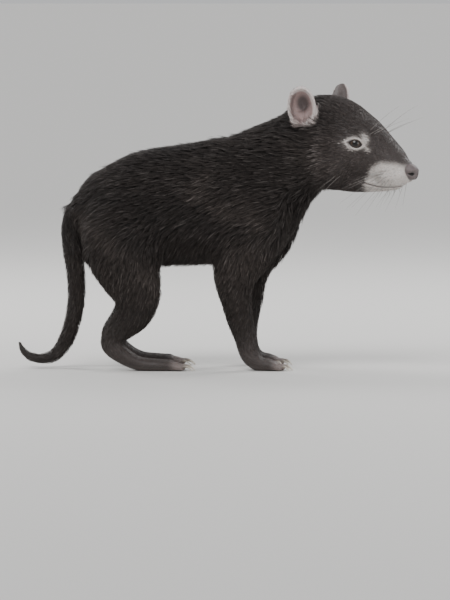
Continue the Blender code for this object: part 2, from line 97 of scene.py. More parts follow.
# A section of a loft: its centre, its half width, and its reach above and below the centre.
# On a leg, above is its front and below is its back.
Ring = namedtuple("Ring", "x y z side above below")

TRUNK = [
    Ring(-187, 0, 218, 40, 34, 44),
    Ring(-165, 0, 225, 56, 56, 66),
    Ring(-130, 0, 226, 66, 77, 76),
    Ring(-88, 0, 228, 71, 86, 84),
    Ring(-42, 0, 231, 73, 89, 86),
    Ring(0, 0, 236, 73, 91, 91),
    Ring(34, -1, 244, 70, 93, 101),
    Ring(62, -3, 261, 64, 85, 84),
    Ring(90, -7, 284, 59, 74, 68),
    Ring(116, -10, 304, 56, 64, 60),
    Ring(138, -12, 318, 52, 52, 52),
]

SKULL = [
    Ring(-34, 0, 320, 50, 56, 54),
    Ring(-14, 0, 321, 57, 67, 62),
    Ring(10, 0, 321, 59, 70, 65),
    Ring(34, 0, 317, 56, 65.5, 62),
    Ring(56, 0, 311, 49, 55, 54),
    Ring(74, 0, 304, 41, 48, 44),
    Ring(92, 0, 296, 34, 40, 33),
    Ring(110, 0, 288, 28, 33, 25),
    Ring(124, 0, 282.5, 23, 26, 19),
    Ring(136, 0, 280, 16, 18, 14.5),
]

LOWER_JAW = [
    Ring(16, 0, 273, 42, 20, 19),
    Ring(52, 0, 272, 35, 16, 21),
    Ring(84, 0, 269, 27, 12, 17),
    Ring(108, 0, 267, 21, 10, 13),
    Ring(124, 0, 265, 13, 8, 8),
]

TAIL = [
    Ring(-165, 0, 236, 20, 18, 20),
    Ring(-190, 0, 226, 21, 22, 22),
    Ring(-203, 0, 204, 19, 19, 19),
    Ring(-204, 0, 172, 17, 17, 17),
    Ring(-200, 0, 137, 15.5, 15.5, 15.5),
    Ring(-199, 0, 101, 14.5, 14.5, 14.5),
    Ring(-204, 0, 70, 13.5, 13.5, 13.5),
    Ring(-214, 0, 40, 12.5, 12.5, 12.5),
    Ring(-229, 0, 19.5, 10.5, 10.5, 10.5),
    Ring(-247, 0, 12.5, 9, 9, 9),
    Ring(-263, 0, 15, 7.5, 7.5, 7.5),
    Ring(-275, 0, 24, 5.5, 5.5, 5.5),
    Ring(-281, 0, 37, 2.6, 2.6, 2.6),
]

# The legs are given for the right side, which has negative y.
FORE_LEG = [
    Ring(66, -42, 268, 26, 36, 40),
    Ring(62, -48, 232, 29, 46, 46),
    Ring(48, -52, 190, 27, 48, 44),
    Ring(30, -52, 150, 23, 38, 40),
    Ring(25, -51, 124, 20, 30, 31),
    Ring(27, -50, 97, 18, 24, 22),
    Ring(33, -49, 72, 17, 20, 20),
    Ring(41, -48, 46, 16, 16.5, 17),
    Ring(48, -48, 24, 16, 13, 16),
    Ring(60, -48, 12, 18, 9, 14),
    Ring(73, -48, 9, 19, 8, 11),
    Ring(82, -48, 7, 17, 6.5, 9),
]

HIND_LEG = [
    Ring(-132, -36, 236, 32, 44, 46),
    Ring(-134, -46, 205, 35, 54, 60),
    Ring(-131, -50, 170, 33, 56, 60),
    Ring(-122, -51, 138, 29, 46, 48),
    Ring(-115, -51, 108, 25, 38, 38),
    Ring(-119, -51, 82, 21, 30, 26),
    Ring(-135, -51, 62, 18, 22, 20),
    Ring(-148, -51, 46, 15.5, 16, 17),
    Ring(-146, -51, 34, 15, 15, 16),
    Ring(-128, -51, 20, 16, 11, 13.5),
    Ring(-108, -51, 11, 17, 9, 12),
    Ring(-84, -51, 8.5, 18.5, 8.5, 10.5),
    Ring(-67, -51, 8, 18, 8, 10),
]

# Rounded forms on the head, in its frame: centre and radii. The paired ones are on both sides.
CHIN = ((120, 0, 263), (11, 13, 8))
PAIRED_FORMS = {
    "cheek": ((22, 32, 294), (46, 29, 38)),
    "temple": ((10, 24, 350), (42, 30, 34)),
    "pad": ((112, 13, 276.5), (25, 14, 14.5)),
}

# The heights between which the smoothing of the trunk fades out towards the feet.
BROAD_LEVELS = (85, 150)

# Low swellings on the head: centre in the head's frame, radius and height. Both sides get them.
SWELLINGS = [
    ((58, 44, 309), 20, 5.5),
    ((64, 30, 336), 17, 4.5),
    ((18, 52, 286), 30, 5.0),
    ((118, 24, 277), 16, 2.5),
]

FAR_FORE_AHEAD = 19.0
FAR_FORE_LEVELS = (36.0, 110.0)
FAR_HIND_BACK = 5.0
FAR_HIND_LEVELS = (0.0, 130.0)

TOE_RADIUS = 5.4
FORE_TOE_ROOT = (76.0, 7.2)
FORE_TOE_TIP = (94.0, 4.6)
HIND_TOE_ROOT = (-66.0, 7.8)
HIND_TOE_TIP = (-47.0, 4.8)
TOE_SPACING = 9.6
CLAW_LENGTH = {"fore": 11.5, "hind": 14.5}
CLAW_ROOT_RADIUS = 2.1
CLAW_TIP_RADIUS = 0.45

# The height of the line between the lips, from the corner of the mouth to the front.
LIP_AHEAD = (74, 88, 104, 120, 130, 138, 146)
LIP_HEIGHT = (270.5, 264.5, 261, 260.5, 262, 264.5, 267)

# The height of the upper edge of the muzzle's pale patch, from back to front.
MUZZLE_AHEAD = (76, 84, 95, 110, 128, 136)
MUZZLE_TOP = (252, 270, 286, 294.5, 293, 290)

# The depth of the coat from the nape to the nose.
HEAD_AHEAD = (-20, 10, 35, 50, 70, 95, 120, 134, 142)
HEAD_DEPTH = (7.5, 5.8, 4.0, 2.7, 1.5, 0.9, 0.6, 0.4, 0.1)

# Colours of the coat and the bare skin.
COAT_BLACK = (0.020, 0.017, 0.016)
COAT_BROWN = (0.046, 0.037, 0.033)
# Paler brown of the painted highlights on the coat.
PAINTED_HIGHLIGHT_BROWN = (0.082, 0.067, 0.060)
FACE_BROWN = (0.074, 0.060, 0.056)
MUZZLE_PALE = (0.74, 0.68, 0.64)
RING_PALE = (0.76, 0.70, 0.66)
EAR_RIM = (0.78, 0.69, 0.66)
EAR_INSIDE = (0.27, 0.195, 0.185)
# Painted shade deep in an ear's bowl.
EAR_PAINTED_SHADE = (0.035, 0.026, 0.026)
EAR_BACK = (0.12, 0.095, 0.09)
NOSE_GREY = (0.125, 0.103, 0.102)
FOOT_GREY = (0.070, 0.056, 0.052)
TOE_PALE = (0.27, 0.22, 0.205)
LIP_DARK = (0.05, 0.038, 0.037)
NOSTRIL_BLACK = (0.008, 0.006, 0.006)
WHISKER_SPOT = (0.16, 0.13, 0.125)
WHISKER_GREY = (0.24, 0.22, 0.205)
CLAW_ROOT = (0.16, 0.13, 0.11)
CLAW_TIP = (0.62, 0.57, 0.48)
FLOOR_PALE = (0.62, 0.61, 0.59, 1)

# The eye's colours from the middle of its pupil to its edge, at shares of its radius.
EYE_COLOURS = (
    (0.0, (0.003, 0.003, 0.003)),
    (0.36, (0.004, 0.003, 0.003)),
    (0.42, (0.045, 0.026, 0.016)),
    (0.66, (0.03, 0.018, 0.012)),
    (0.74, (0.008, 0.006, 0.006)),
)

# Painted highlights, as paler patches of hair on the shoulder, foreleg, thigh and cheek: the x and
# z of the middle, half length, half width, lean in degrees and strength.
PAINTED_HIGHLIGHT_PATCHES = [
    (-14, 262, 26, 13, 60, 0.55),
    (16, 230, 36, 13, -35, 0.6),
    (58, 220, 28, 13, -40, 0.6),
    (34, 158, 44, 17, 40, 0.5),
    (-172, 208, 24, 12, -50, 0.55),
    (-145, 184, 28, 12, -45, 0.6),
    (-100, 138, 34, 14, -50, 0.6),
    (150, 300, 34, 26, 0, 0.55),
]


def smoothstep(value, low, high):
    t = np.clip((np.asarray(value, float) - low) / (high - low), 0.0, 1.0)
    return t * t * (3.0 - 2.0 * t)


def bell(value, width):
    """1 at zero, falling away on both sides over the width."""
    return np.exp(-((value / width) ** 2))


def oval(across, wide, upward, high):
    """1 in the middle of an oval, falling away over its two half sizes."""
    return np.exp(-((across / wide) ** 2 + (upward / high) ** 2))


def between(first, second, share):
    """Goes from the first value to the second one as the share goes from 0 to 1."""
    return first * (1 - share) + second * share


def head_matrix():
    return Matrix.Translation(Vector(HEAD_PLACE)) @ Matrix.Rotation(HEAD_TURN, 4, "Z")


HEAD_AXES = np.array(head_matrix().to_3x3())


def in_head(points):
    """Points of the body's frame, in the head's frame."""
    return (points - HEAD_PLACE) @ HEAD_AXES


def from_head(points):
    return np.asarray(points) @ HEAD_AXES.T + HEAD_PLACE


def unit(vectors):
    return vectors / np.maximum(np.linalg.norm(vectors, axis=-1, keepdims=True), 1e-9)


# Forms


def splined(rings, steps):
    """The rings with steps sections for each span, on a Catmull-Rom curve through them."""
    points = np.array(rings, float)
    ends = np.vstack([2 * points[0] - points[1], points, 2 * points[-1] - points[-2]])
    found = []
    for i in range(len(points) - 1):
        before, start, stop, after = ends[i : i + 4]
        for t in np.arange(steps) / steps:
            linear = (stop - before) * t
            square = (2 * before - 5 * start + 4 * stop - after) * t**2
            cubic = (3 * start - before - 3 * stop + after) * t**3
            found.append(0.5 * (2 * start + linear + square + cubic))
    return np.array(found + [points[-1]])


def with_round_ends(sections, ways, cap, domes):
    """Adds shrinking sections past both ends, so that the loft closes with a dome."""
    first, last = [], []
    for angle in np.radians(80 * (1 - np.arange(domes) / domes)):
        for group, section, way, sign in (
            (first, sections[0], ways[0], -1),
            (last, sections[-1], ways[-1], 1),
        ):
            made = section.copy()
            made[:3] += sign * way * cap * section[3:].mean() * math.sin(angle)
            made[3:] *= math.cos(angle)
            group.append(made)
    sections = np.vstack([first, sections, last[::-1]])
    ways = np.vstack([[ways[0]] * len(first), ways, [ways[-1]] * len(last)])
    return sections, ways


def tube_faces(count, sides, looped=False):
    """The faces between a tube's sections, and from the last back to the first if it is looped."""
    faces = []
    for i in range(count if looped else count - 1):
        here, after = i * sides, (i + 1) % count * sides
        for j in range(sides):
            beside = (j + 1) % sides
            faces.append((here + j, here + beside, after + beside, after + j))
    return faces


def loft(rings, power=2.2, steps=4, sides=32, cap=0.6, domes=4, on_head=False):
    """Points and faces of a closed tube through the rings, whose sections are superellipses.

    The rings are in the head's frame where on_head is set.
    """
    sections = splined(rings, steps)
    ways = unit(np.gradient(sections[:, :3], axis=0))
    sections, ways = with_round_ends(sections, ways, cap, domes)
    across = unit(np.array([0.0, 1.0, 0.0]) - ways * ways[:, 1:2])
    upward = np.cross(ways, across)
    angles = np.arange(sides) * 2 * math.pi / sides
    sideways = np.sign(np.cos(angles)) * np.abs(np.cos(angles)) ** (2 / power)
    height = np.sign(np.sin(angles)) * np.abs(np.sin(angles)) ** (2 / power)
    reach = np.where(height[None, :] > 0, sections[:, 4:5], sections[:, 5:6]) * height
    points = (
        sections[:, None, :3]
        + (sections[:, 3:4] * sideways)[:, :, None] * across[:, None, :]
        + reach[:, :, None] * upward[:, None, :]
    ).reshape(-1, 3)
    if on_head:
        points = from_head(points)
    count = len(sections)
    faces = tube_faces(count, sides)
    faces.append(tuple(range(sides))[::-1])
    faces.append(tuple((count - 1) * sides + j for j in range(sides)))
    return points, faces


def ball(centre, radii, turn=None, segments=32):
    """Points and faces of an ellipsoid in the head's frame, turned about its own centre."""
    work = bmesh.new()
    bmesh.ops.create_uvsphere(work, u_segments=segments, v_segments=segments // 2, radius=1.0)
    points = np.array([vert.co for vert in work.verts]) * np.array(radii)
    faces = [tuple(vert.index for vert in face.verts) for face in work.faces]
    work.free()
    if turn is not None:
        points = points @ np.array(turn.to_3x3()).T
    return from_head(points + np.array(centre)), faces


def linked(name, data):
    """A new object in the scene, of a mesh, a camera or a light."""
    made = bpy.data.objects.new(name, data)
    bpy.context.scene.collection.objects.link(made)
    return made


def mesh_object(name, points, faces):
    """An object in metres from points in millimetres of the body's frame."""
    mesh = bpy.data.meshes.new(name)
    mesh.from_pydata(((points + STANDING_SHIFT) * MM).tolist(), [], faces)
    return linked(name, mesh)


def closed_object(name, form):
    """An object of a closed form, with its faces turned outwards."""
    made = mesh_object(name, *form)
    work = bmesh.new()
    work.from_mesh(made.data)
    bmesh.ops.recalc_face_normals(work, faces=work.faces)
    work.to_mesh(made.data)
    work.free()
    return made


def applied(item):
    """Applies an object's modifiers to its mesh."""
    graph = bpy.context.evaluated_depsgraph_get()
    mesh = bpy.data.meshes.new_from_object(item.evaluated_get(graph))
    item.modifiers.clear()
    item.vertex_groups.clear()
    item.data = mesh
    return item


def points_of(item):
    """An object's points, in millimetres of the body's frame."""
    points = np.empty(len(item.data.vertices) * 3)
    item.data.vertices.foreach_get("co", points)
    return points.reshape(-1, 3) / MM - STANDING_SHIFT


def set_points(item, points):
    item.data.vertices.foreach_set("co", ((points + STANDING_SHIFT) * MM).ravel())
    item.data.update()


def normals_of(item):
    normals = np.empty(len(item.data.vertices) * 3)
    item.data.vertices.foreach_get("normal", normals)
    return normals.reshape(-1, 3)


def weight_group(item, name, weights):
    group = item.vertex_groups.new(name=name)
    levels = np.round(np.clip(weights, 0, 1) * 10).astype(int)
    for level in range(1, 11):
        group.add(np.flatnonzero(levels == level).tolist(), level / 10, "REPLACE")
    return name


def softened(item, passes):
    """Smooths an object in passes, each with its weights and how far it reaches in millimetres."""
    for weights, reach in passes:
        smooth = item.modifiers.new("Soft", "SMOOTH")
        smooth.factor = 0.5
        smooth.iterations = max(1, round((2 * reach / VOXEL) ** 2))
        smooth.vertex_group = weight_group(item, f"Soft{len(item.vertex_groups)}", weights)
    return applied(item)


# Where things are on the body


def head_share(points):
    """1 on the head, 0 on the rest."""
    return smoothstep(in_head(points)[:, 0], -30, 10) * (points[:, 2] > 200)


def leg_rings(rings, side, ahead, levels):
    """The leg for one side, moved along x by ahead above the two levels."""
    found = []
    for ring in rings:
        share = float(smoothstep(ring.z, *levels))
        found.append(ring._replace(x=ring.x + ahead * share, y=side * abs(ring.y)))
    return found


def legs_of(side):
    """The rings of one side's two legs. The far ones stand a little apart from the near ones."""
    far = side > 0
    fore = leg_rings(FORE_LEG, side, FAR_FORE_AHEAD * far, FAR_FORE_LEVELS)
    hind = leg_rings(HIND_LEG, side, -FAR_HIND_BACK * far, FAR_HIND_LEVELS)
    return fore, hind


def toe_lines(root, tip, count, foot_y, side):
    """The root and the tip of each toe of a foot, from its outer toe to its inner one."""
    lines = []
    for k in range(count):
        place = k - (count - 1) / 2
        if count == FORE_TOES:
            place = k - 1.7
        shorter = 1.6 * (place + 0.2) ** 2
        out = side * (abs(foot_y) - place * TOE_SPACING * 0.86)
        out_tip = side * (abs(foot_y) - place * TOE_SPACING * 1.04)
        lines.append(
            (
                np.array((root[0] - shorter * 1.4, out, root[1])),
                np.array((tip[0] - shorter * 1.3, out_tip, tip[1])),
            )
        )
    return lines


def all_toes():
    """Every toe's line, with the name of its foot and side."""
    found = []
    for side, title in ((-1, "right"), (1, "left")):
        for line in toe_lines(FORE_TOE_ROOT, FORE_TOE_TIP, FORE_TOES, FORE_LEG[-1].y, side):
            found.append(("fore", title, line))
        for line in toe_lines(HIND_TOE_ROOT, HIND_TOE_TIP, HIND_TOES, HIND_LEG[-1].y, side):
            found.append(("hind", title, line))
    return found


def toe_form(line):
    root, tip = line
    along = tip - root
    rings = [
        Ring(*(root + along * t), TOE_RADIUS * s, TOE_RADIUS * s, TOE_RADIUS * s)
        for t, s in ((-0.3, 0.9), (0.15, 0.84), (0.45, 0.98), (0.72, 0.86), (1.0, 0.86))
    ]
    return loft(rings, power=2.0, sides=20, cap=0.8)


def ear_turn(side):
    return Matrix.Rotation(-side * EAR_LEAN, 4, "X") @ Matrix.Rotation(side * EAR_FACING, 4, "Z")


def ear_axes(side):
    """An ear's own axes in the head's frame: out of the bowl, across it and up."""
    return np.array(ear_turn(side).to_3x3())


def ear_edge(own):
    """0 in the middle of an ear, 1 at its rim."""
    return np.hypot(own[:, 1] / EAR_SIZE[0], own[:, 2] / EAR_SIZE[2])


def in_ear(local, side):
    """Points of the head's frame in an ear's own frame."""
    return (local - EAR_MIDDLE * (1, side, 1)) @ ear_axes(side)


def ear_object(side):
    """A cupped oval ear, open towards the front and the outside, with a solid foot in the head."""
    turn, axes = ear_turn(side), ear_axes(side)
    width, depth, height = EAR_SIZE
    middle = EAR_MIDDLE * (1, side, 1)
    hollow_middle = middle + axes[:, 0] * depth * EAR_HOLLOW_OUT + axes[:, 2] * EAR_FOOT
    hollow_size = (depth * EAR_HOLLOW_DEPTH, width - EAR_WALL, height - EAR_WALL - EAR_FOOT)
    shell = closed_object("ear", ball(middle, (depth, width, height), turn, 48))
    hollow = closed_object("hollow", ball(hollow_middle, hollow_size, turn, 48))
    cut = shell.modifiers.new("Hollow", "BOOLEAN")
    cut.operation = "DIFFERENCE"
    cut.object = hollow
    applied(shell)
    bpy.data.objects.remove(hollow)
    return shell


def forms():
    """Every form that is fused into the body, as objects."""
    shapes = [
        loft(TRUNK, power=2.3, sides=48),
        loft(TAIL, power=2.0, cap=0.4),
        loft(SKULL, on_head=True),
        loft(LOWER_JAW, on_head=True),
        ball(*CHIN),
        ball(NOSE_PLACE, NOSE_SIZE, Matrix.Rotation(NOSE_TILT, 4, "Y")),
    ]
    for side in (-1, 1):
        fore, hind = legs_of(side)
        shapes += [loft(fore, power=2.1), loft(hind, power=2.1)]
        shapes += [ball((x, side * y, z), radii) for (x, y, z), radii in PAIRED_FORMS.values()]
    shapes += [toe_form(line) for _, _, line in all_toes()]
    items = [closed_object("form", shape) for shape in shapes]
    return items + [ear_object(side) for side in (-1, 1)]


def fused(name, items):
    """One closed surface round all the items, on a grid of voxels."""
    work = bmesh.new()
    for item in items:
        work.from_mesh(item.data)
        bpy.data.objects.remove(item)
    mesh = bpy.data.meshes.new(name)
    work.to_mesh(mesh)
    work.free()
    made = linked(name, mesh)
    remesh = made.modifiers.new("Voxels", "REMESH")
    remesh.mode = "VOXEL"
    remesh.voxel_size = VOXEL * MM
    return applied(made)


def ear_share(points):
    """1 on the free part of an ear, 0 elsewhere."""
    local = in_head(points)
    found = np.zeros(len(points))
    for side in (-1, 1):
        own = in_ear(local, side)
        far = np.linalg.norm(own / EAR_ROOM, axis=1)
        share = (1 - smoothstep(far, 1.0, 1.12)) * smoothstep(own[:, 2], -32, -20)
        found = np.maximum(found, share)
    return found


def leg_share(points):
    """1 low on the legs, 0 on the trunk and the tail."""
    outward = smoothstep(np.abs(points[:, 1]), 22, 40)
    return (1 - smoothstep(points[:, 2], 150, 215)) * outward * (points[:, 0] > -178)


def tail_share(points):
    """1 on the free tail, 0 on the rest."""
    behind = 1 - smoothstep(points[:, 0], -196, -178)
    return behind * (np.abs(points[:, 1]) < 24) * (points[:, 2] < 230)


def coat_depth(points):
    """How far the coat's tips stand off the skin, in millimetres."""
    depth = 7.5 - 2.5 * smoothstep(175 - points[:, 2], 0, 25)
    on_head = np.interp(in_head(points)[:, 0], HEAD_AHEAD, HEAD_DEPTH)
    depth = between(depth, on_head, head_share(points))
    on_legs = np.interp(points[:, 2], (8, 25, 60, 110, 170), (0.3, 1.0, 2.4, 4.2, 6.0))
    depth = between(depth, on_legs, leg_share(points))
    tail = tail_share(points)
    on_tail = np.interp(-points[:, 0], (200, 215, 240, 270, 282), (3.8, 3.2, 2.6, 1.6, 0.6))
    depth = between(depth, on_tail, tail)
    low = (1 - smoothstep(points[:, 2], 18, 40)) * (1 - tail)
    depth = between(depth, np.minimum(depth, 0.9), low)
    return between(depth, 0.5, ear_share(points))


def eye_frame(side):
    """Centre and axes of an eye in the head's frame: towards the nose, up and outwards."""
    centre = EYE_PLACE * (1, side, 1)
    look = unit(EYE_LOOK * (1, side, 1))
    forward = unit(np.array((1.0, 0, 0)) - look * look[0])
    upward = np.array((0, 0, 1.0)) - look * look[2]
    upward = unit(upward - forward * (upward @ forward))
    nose = forward * math.cos(EYE_TILT) + upward * math.sin(EYE_TILT)
    return centre, nose, upward * math.cos(EYE_TILT) - forward * math.sin(EYE_TILT), look


def almond_edge(across, half):
    """How high an almond of these half sizes is at places across it."""
    wide, high = half
    return high * np.clip(1 - (across / wide) ** 2, 0, 1) ** 0.85


def almond(across, upward, half):
    """How far a point is outside an almond of these half sizes, seen along the eye's look."""
    beyond = np.maximum(np.abs(across) - half[0], 0)
    above = np.abs(upward) - almond_edge(across, half)
    return np.where(beyond > 0, np.hypot(beyond, upward), above)


def eye_parts(local, side):
    """Offsets from an eye, towards the nose, up and outwards, and the distances from it."""
    centre, nose, upward, look = eye_frame(side)
    own = (local - centre) @ np.array((nose, upward, look)).T
    return own, np.linalg.norm(own, axis=1)


# Skin


def finer(item, chosen):
    """Splits the chosen faces in four."""
    work = bmesh.new()
    work.from_mesh(item.data)
    work.verts.ensure_lookup_table()
    faces = [face for face in work.faces if all(chosen[vert.index] for vert in face.verts)]
    edges = list({edge for face in faces for edge in face.edges})
    bmesh.ops.subdivide_edges(work, edges=edges, cuts=1, use_grid_fill=True, smooth=0.0)
    bmesh.ops.triangulate(work, faces=[face for face in work.faces if len(face.verts) > 4])
    work.to_mesh(item.data)
    work.free()
    return item


def from_lips(local):
    """How far above the line between the lips each point of the head's frame is."""
    return local[:, 2] - np.interp(local[:, 0], LIP_AHEAD, LIP_HEIGHT)


def from_pad(local):
    """How far outside the nose's bare pad each point of the head's frame is, nearly."""
    high = local[:, 2] - PAD_HEIGHT
    wide = np.abs(local[:, 1]) * (1 - 0.012 * high)
    outside = (np.hypot(wide / PAD_HALF[0], high / PAD_HALF[1]) - 1) * 12
    return np.maximum(outside, PAD_AHEAD + 0.02 * high**2 - local[:, 0])


def by_nostril(local, side, offset, size):
    """1 at an offset from a nostril, falling away over the three sizes."""
    away = (local - NOSTRIL * (1, side, 1) - np.array(offset) * (1, side, 1)) / size
    return np.exp(-(away**2).sum(1))


def nostril_parts(local, side):
    """A nostril's pit, and the slit that runs back from it, each as 1 in its middle."""
    pit = by_nostril(local, side, (0, 0, 0), (4.2, 3.2, 2.7))
    slit = by_nostril(local, side, (-3.2, 2.6, 0.4), (3.2, 2.8, 1.3))
    return pit, slit


def to_polyline(points, line):
    """The shortest distance from each point to a polyline."""
    best = np.full(len(points), 1e9)
    for start, stop in zip(line[:-1], line[1:]):
        start, stop = np.array(start, float), np.array(stop, float)
        along = stop - start
        t = np.clip((points - start) @ along / (along @ along), 0, 1)
        best = np.minimum(best, np.linalg.norm(points - start - t[:, None] * along, axis=1))
    return best


def with_lids(local, side):
    """Shapes the skin round an eye: thick lids on the ball, and an opening that ends inside it."""
    own, far = eye_parts(local, side)
    near = (far < EYE_RADIUS * 2.4) & (own[:, 2] > 0)
    part, radius = own[near], far[near]
    outside = almond(part[:, 0], part[:, 1], EYE_OPENING)
    lid = EYE_RADIUS + LID_THICKNESS * (1 - smoothstep(outside, 4, 14) * 0.6)
    lid += 0.7 * bell(outside - 1.6, 1.3)
    crease = np.where(part[:, 1] > 0, 1.3, 0.7)
    lid -= crease * bell(outside - 4.6, 1.0)
    soft = 1.6
    raised = 0.5 * (radius + lid + np.sqrt((radius - lid) ** 2 + soft**2)) - 0.25 * soft
    raised -= crease * 0.5 * bell(outside - 4.6, 1.0)
    opened = 1 - smoothstep(outside, -0.5, 0.5)
    target = between(raised, EYE_RADIUS - 2.5, opened)
    local[near] += (unit(part) * (target - radius)[:, None]) @ np.array(eye_frame(side)[1:])
    return local


def with_face(item):
    """Adds what a face has: lips, nostrils, nose grooves, lids and folds."""
    points = points_of(item)
    local = in_head(points)
    normals = normals_of(item) @ HEAD_AXES
    push = np.zeros(len(points))
    above = from_lips(local)
    mouth = smoothstep(local[:, 0], 70, 86) * (1 - smoothstep(np.abs(normals[:, 2]), 0.75, 0.95))
    push -= 2.4 * bell(above, 1.1) * mouth
    push += 1.1 * bell(above - 3.4, 2.2) * mouth
    push += 0.5 * bell(above + 2.8, 1.6) * mouth
    push -= 2.2 * smoothstep(-above, 0, 1.5) * smoothstep(local[:, 0], 112, 128) * (above > -12)
    philtrum = bell(local[:, 1], 1.0) * smoothstep(local[:, 0], 136, 141)
    push -= 1.6 * philtrum * (1 - smoothstep(local[:, 2], 278, 284)) * (local[:, 2] > 262)
    edge = from_pad(local)
    push += 0.7 * (1 - smoothstep(edge, -3.0, -0.5)) - 0.9 * bell(edge, 1.1)
    for side in (-1, 1):
        pit, slit = nostril_parts(local, side)
        push -= 5.0 * pit + 2.0 * slit
        push += 1.2 * by_nostril(local, side, (-1.5, 1.0, 4.6), (6.0, 4.0, 2.0))
        for start in ((96, 32, 283), (104, 30, 286)):
            steps = np.arange(-1, 3)[:, None]
            fold = (start + steps * (-4.0, 1.2, 5.0)) * (1, side, 1)
            push -= 0.35 * bell(to_polyline(local, fold), 1.6)
    local += normals * push[:, None]
    for side in (-1, 1):
        local = with_lids(local, side)
    set_points(item, from_head(local))
    return item


def with_toes(item):
    """Clefts between the toes, and a low swelling over each toe's middle."""
    points = points_of(item)
    normals = normals_of(item)
    push = np.zeros(len(points))
    lines = all_toes()
    for (foot, side, line), (next_foot, next_side, next_line) in zip(lines[:-1], lines[1:]):
        root, tip = line
        over = (root * 0.45 + tip * 0.55) + (0, 0, 4.0)
        push += 0.7 * bell(np.linalg.norm(points - over, axis=1), 4.0)
        if (foot, side) == (next_foot, next_side):
            middle = [(a + b) / 2 for a, b in zip(line, next_line)]
            along = middle[1] - middle[0]
            start = middle[0] - along * 0.05 + (0, 0, 4.5)
            stop = middle[1] + along * 0.2 + (0, 0, 1.0)
            cleft = bell(to_polyline(points, (start, stop)), 1.8)
            push -= 2.2 * cleft * smoothstep(normals[:, 2], -0.2, 0.3)
    points += normals * push[:, None]
    points[:, 2] = np.maximum(points[:, 2], 0.0)
    set_points(item, points)
    return item


def with_ears(item):
    """Folds and a notch inside each ear."""
    points = points_of(item)
    local = in_head(points)
    normals = normals_of(item) @ HEAD_AXES
    push = np.zeros(len(points))
    for side in (-1, 1):
        own = in_ear(local, side)
        inside = (normals @ ear_axes(side))[:, 0] > 0.1
        inside = inside * ear_share(points) * (1 - smoothstep(ear_edge(own), 0.62, 0.8))
        across, upward = own[:, 1] * side, own[:, 2]
        ridge = bell(across + 3 - 0.02 * (upward + 5) ** 2, 2.0) * smoothstep(-upward, -12, 6)
        push += 2.2 * ridge * inside
        shelf = bell(upward + 6 - 0.05 * (across - 2) ** 2, 1.8) * (1 - smoothstep(across, 6, 10))
        push += 1.6 * shelf * inside
        knob = oval(across - 9, 3.2, upward + 17, 4.5)
        push += 2.6 * knob * inside
    local += normals * push[:, None]
    set_points(item, from_head(local))
    return item


def skin():
    """The whole animal's skin: one surface, inside the solids by the coat's depth."""
    item = fused("skin", forms())
    points = points_of(item)
    height = points[:, 2]
    head, tail, ears = head_share(points), tail_share(points), ear_share(points)
    muzzle = head * smoothstep(in_head(points)[:, 0], 60, 110)
    rim = ears * smoothstep(in_head(points)[:, 2], 345, 360)
    broad = smoothstep(height, *BROAD_LEVELS) * (1 - head) * (1 - tail)
    middle = smoothstep(height, 15, 60) * (1 - 0.75 * muzzle) * (1 - ears) * (1 - 0.5 * tail)
    item = softened(item, ((broad, 10.4), (middle, 4.7), (np.ones(len(points)), 1.2), (rim, 1.3)))
    points, normals = points_of(item), normals_of(item)
    local = in_head(points)
    raised = np.zeros(len(points))
    for (x, y, z), radius, high in SWELLINGS:
        for side in (-1, 1):
            far = np.linalg.norm(local - np.array((x, side * y, z)), axis=1)
            raised += high * bell(far, radius)
    raised -= coat_depth(points)
    points += normals * raised[:, None]
    points[:, 2] = np.maximum(points[:, 2], 0.0)
    set_points(item, points)
    item = softened(item, ((broad, 3.0),))
    points = points_of(item)
    face = (in_head(points)[:, 0] > 46) & (points[:, 2] > 245)
    toes = (points[:, 0] > 62) | (np.abs(points[:, 0] + 66) < 30)
    item = finer(item, face | toes & (points[:, 2] < 17) | (ear_share(points) > 0.2))
    local = in_head(points_of(item))
    nose = from_pad(local) < 3
    lips = (local[:, 0] > 82) & (np.abs(from_lips(local)) < 2.6)
    eyes = np.minimum(*[eye_parts(local, side)[1] for side in (-1, 1)]) < 15
    item = finer(item, nose | lips | eyes)
    item = with_toes(with_ears(with_face(item)))
    item.data.shade_smooth()
    return item


# Colours


def mixed(base, colour, share):
    """Goes from one colour or way to another, at each point by its own share."""
    return between(np.asarray(base), np.array(colour), share[:, None])


def waves(points, scale, seed):
    """A smooth, repeatable variation between -1 and 1."""
    rng = np.random.default_rng(seed)
    total = np.zeros(len(points))
    for k in range(5):
        way = unit(rng.normal(size=3)) / scale * (0.7 + 0.5 * k)
        total += np.sin(points @ way + rng.uniform(0, 6.28)) / (1 + 0.5 * k)
    return total / 3.0


def whisker_spots(local):
    """1 on the small dark spots in rows that the whiskers grow from."""
    found = np.zeros(len(local))
    for row in range(4):
        for k in range(6):
            drop = 4.4 * row + 0.7 * k - 0.25 * k * k
            away = local[:, (0, 2)] - (100 + 5.2 * k + 1.5 * row, 284 - drop)
            found = np.maximum(found, bell(np.linalg.norm(away, axis=1), 0.95))
    return found * (np.abs(local[:, 1]) > 12)


def painted_highlights(points):
    """How far each point lies in the painted highlights, the paler patches of hair."""
    found = np.zeros(len(points))
    for x, z, long, wide, lean, share in PAINTED_HIGHLIGHT_PATCHES:
        ahead, high = points[:, 0] - x, points[:, 2] - z
        turn = math.radians(lean)
        along = ahead * math.cos(turn) + high * math.sin(turn)
        across = high * math.cos(turn) - ahead * math.sin(turn)
        found = np.maximum(found, share * oval(along, long, across, wide))
    return found * (0.75 + 0.25 * waves(points, 9, 5))


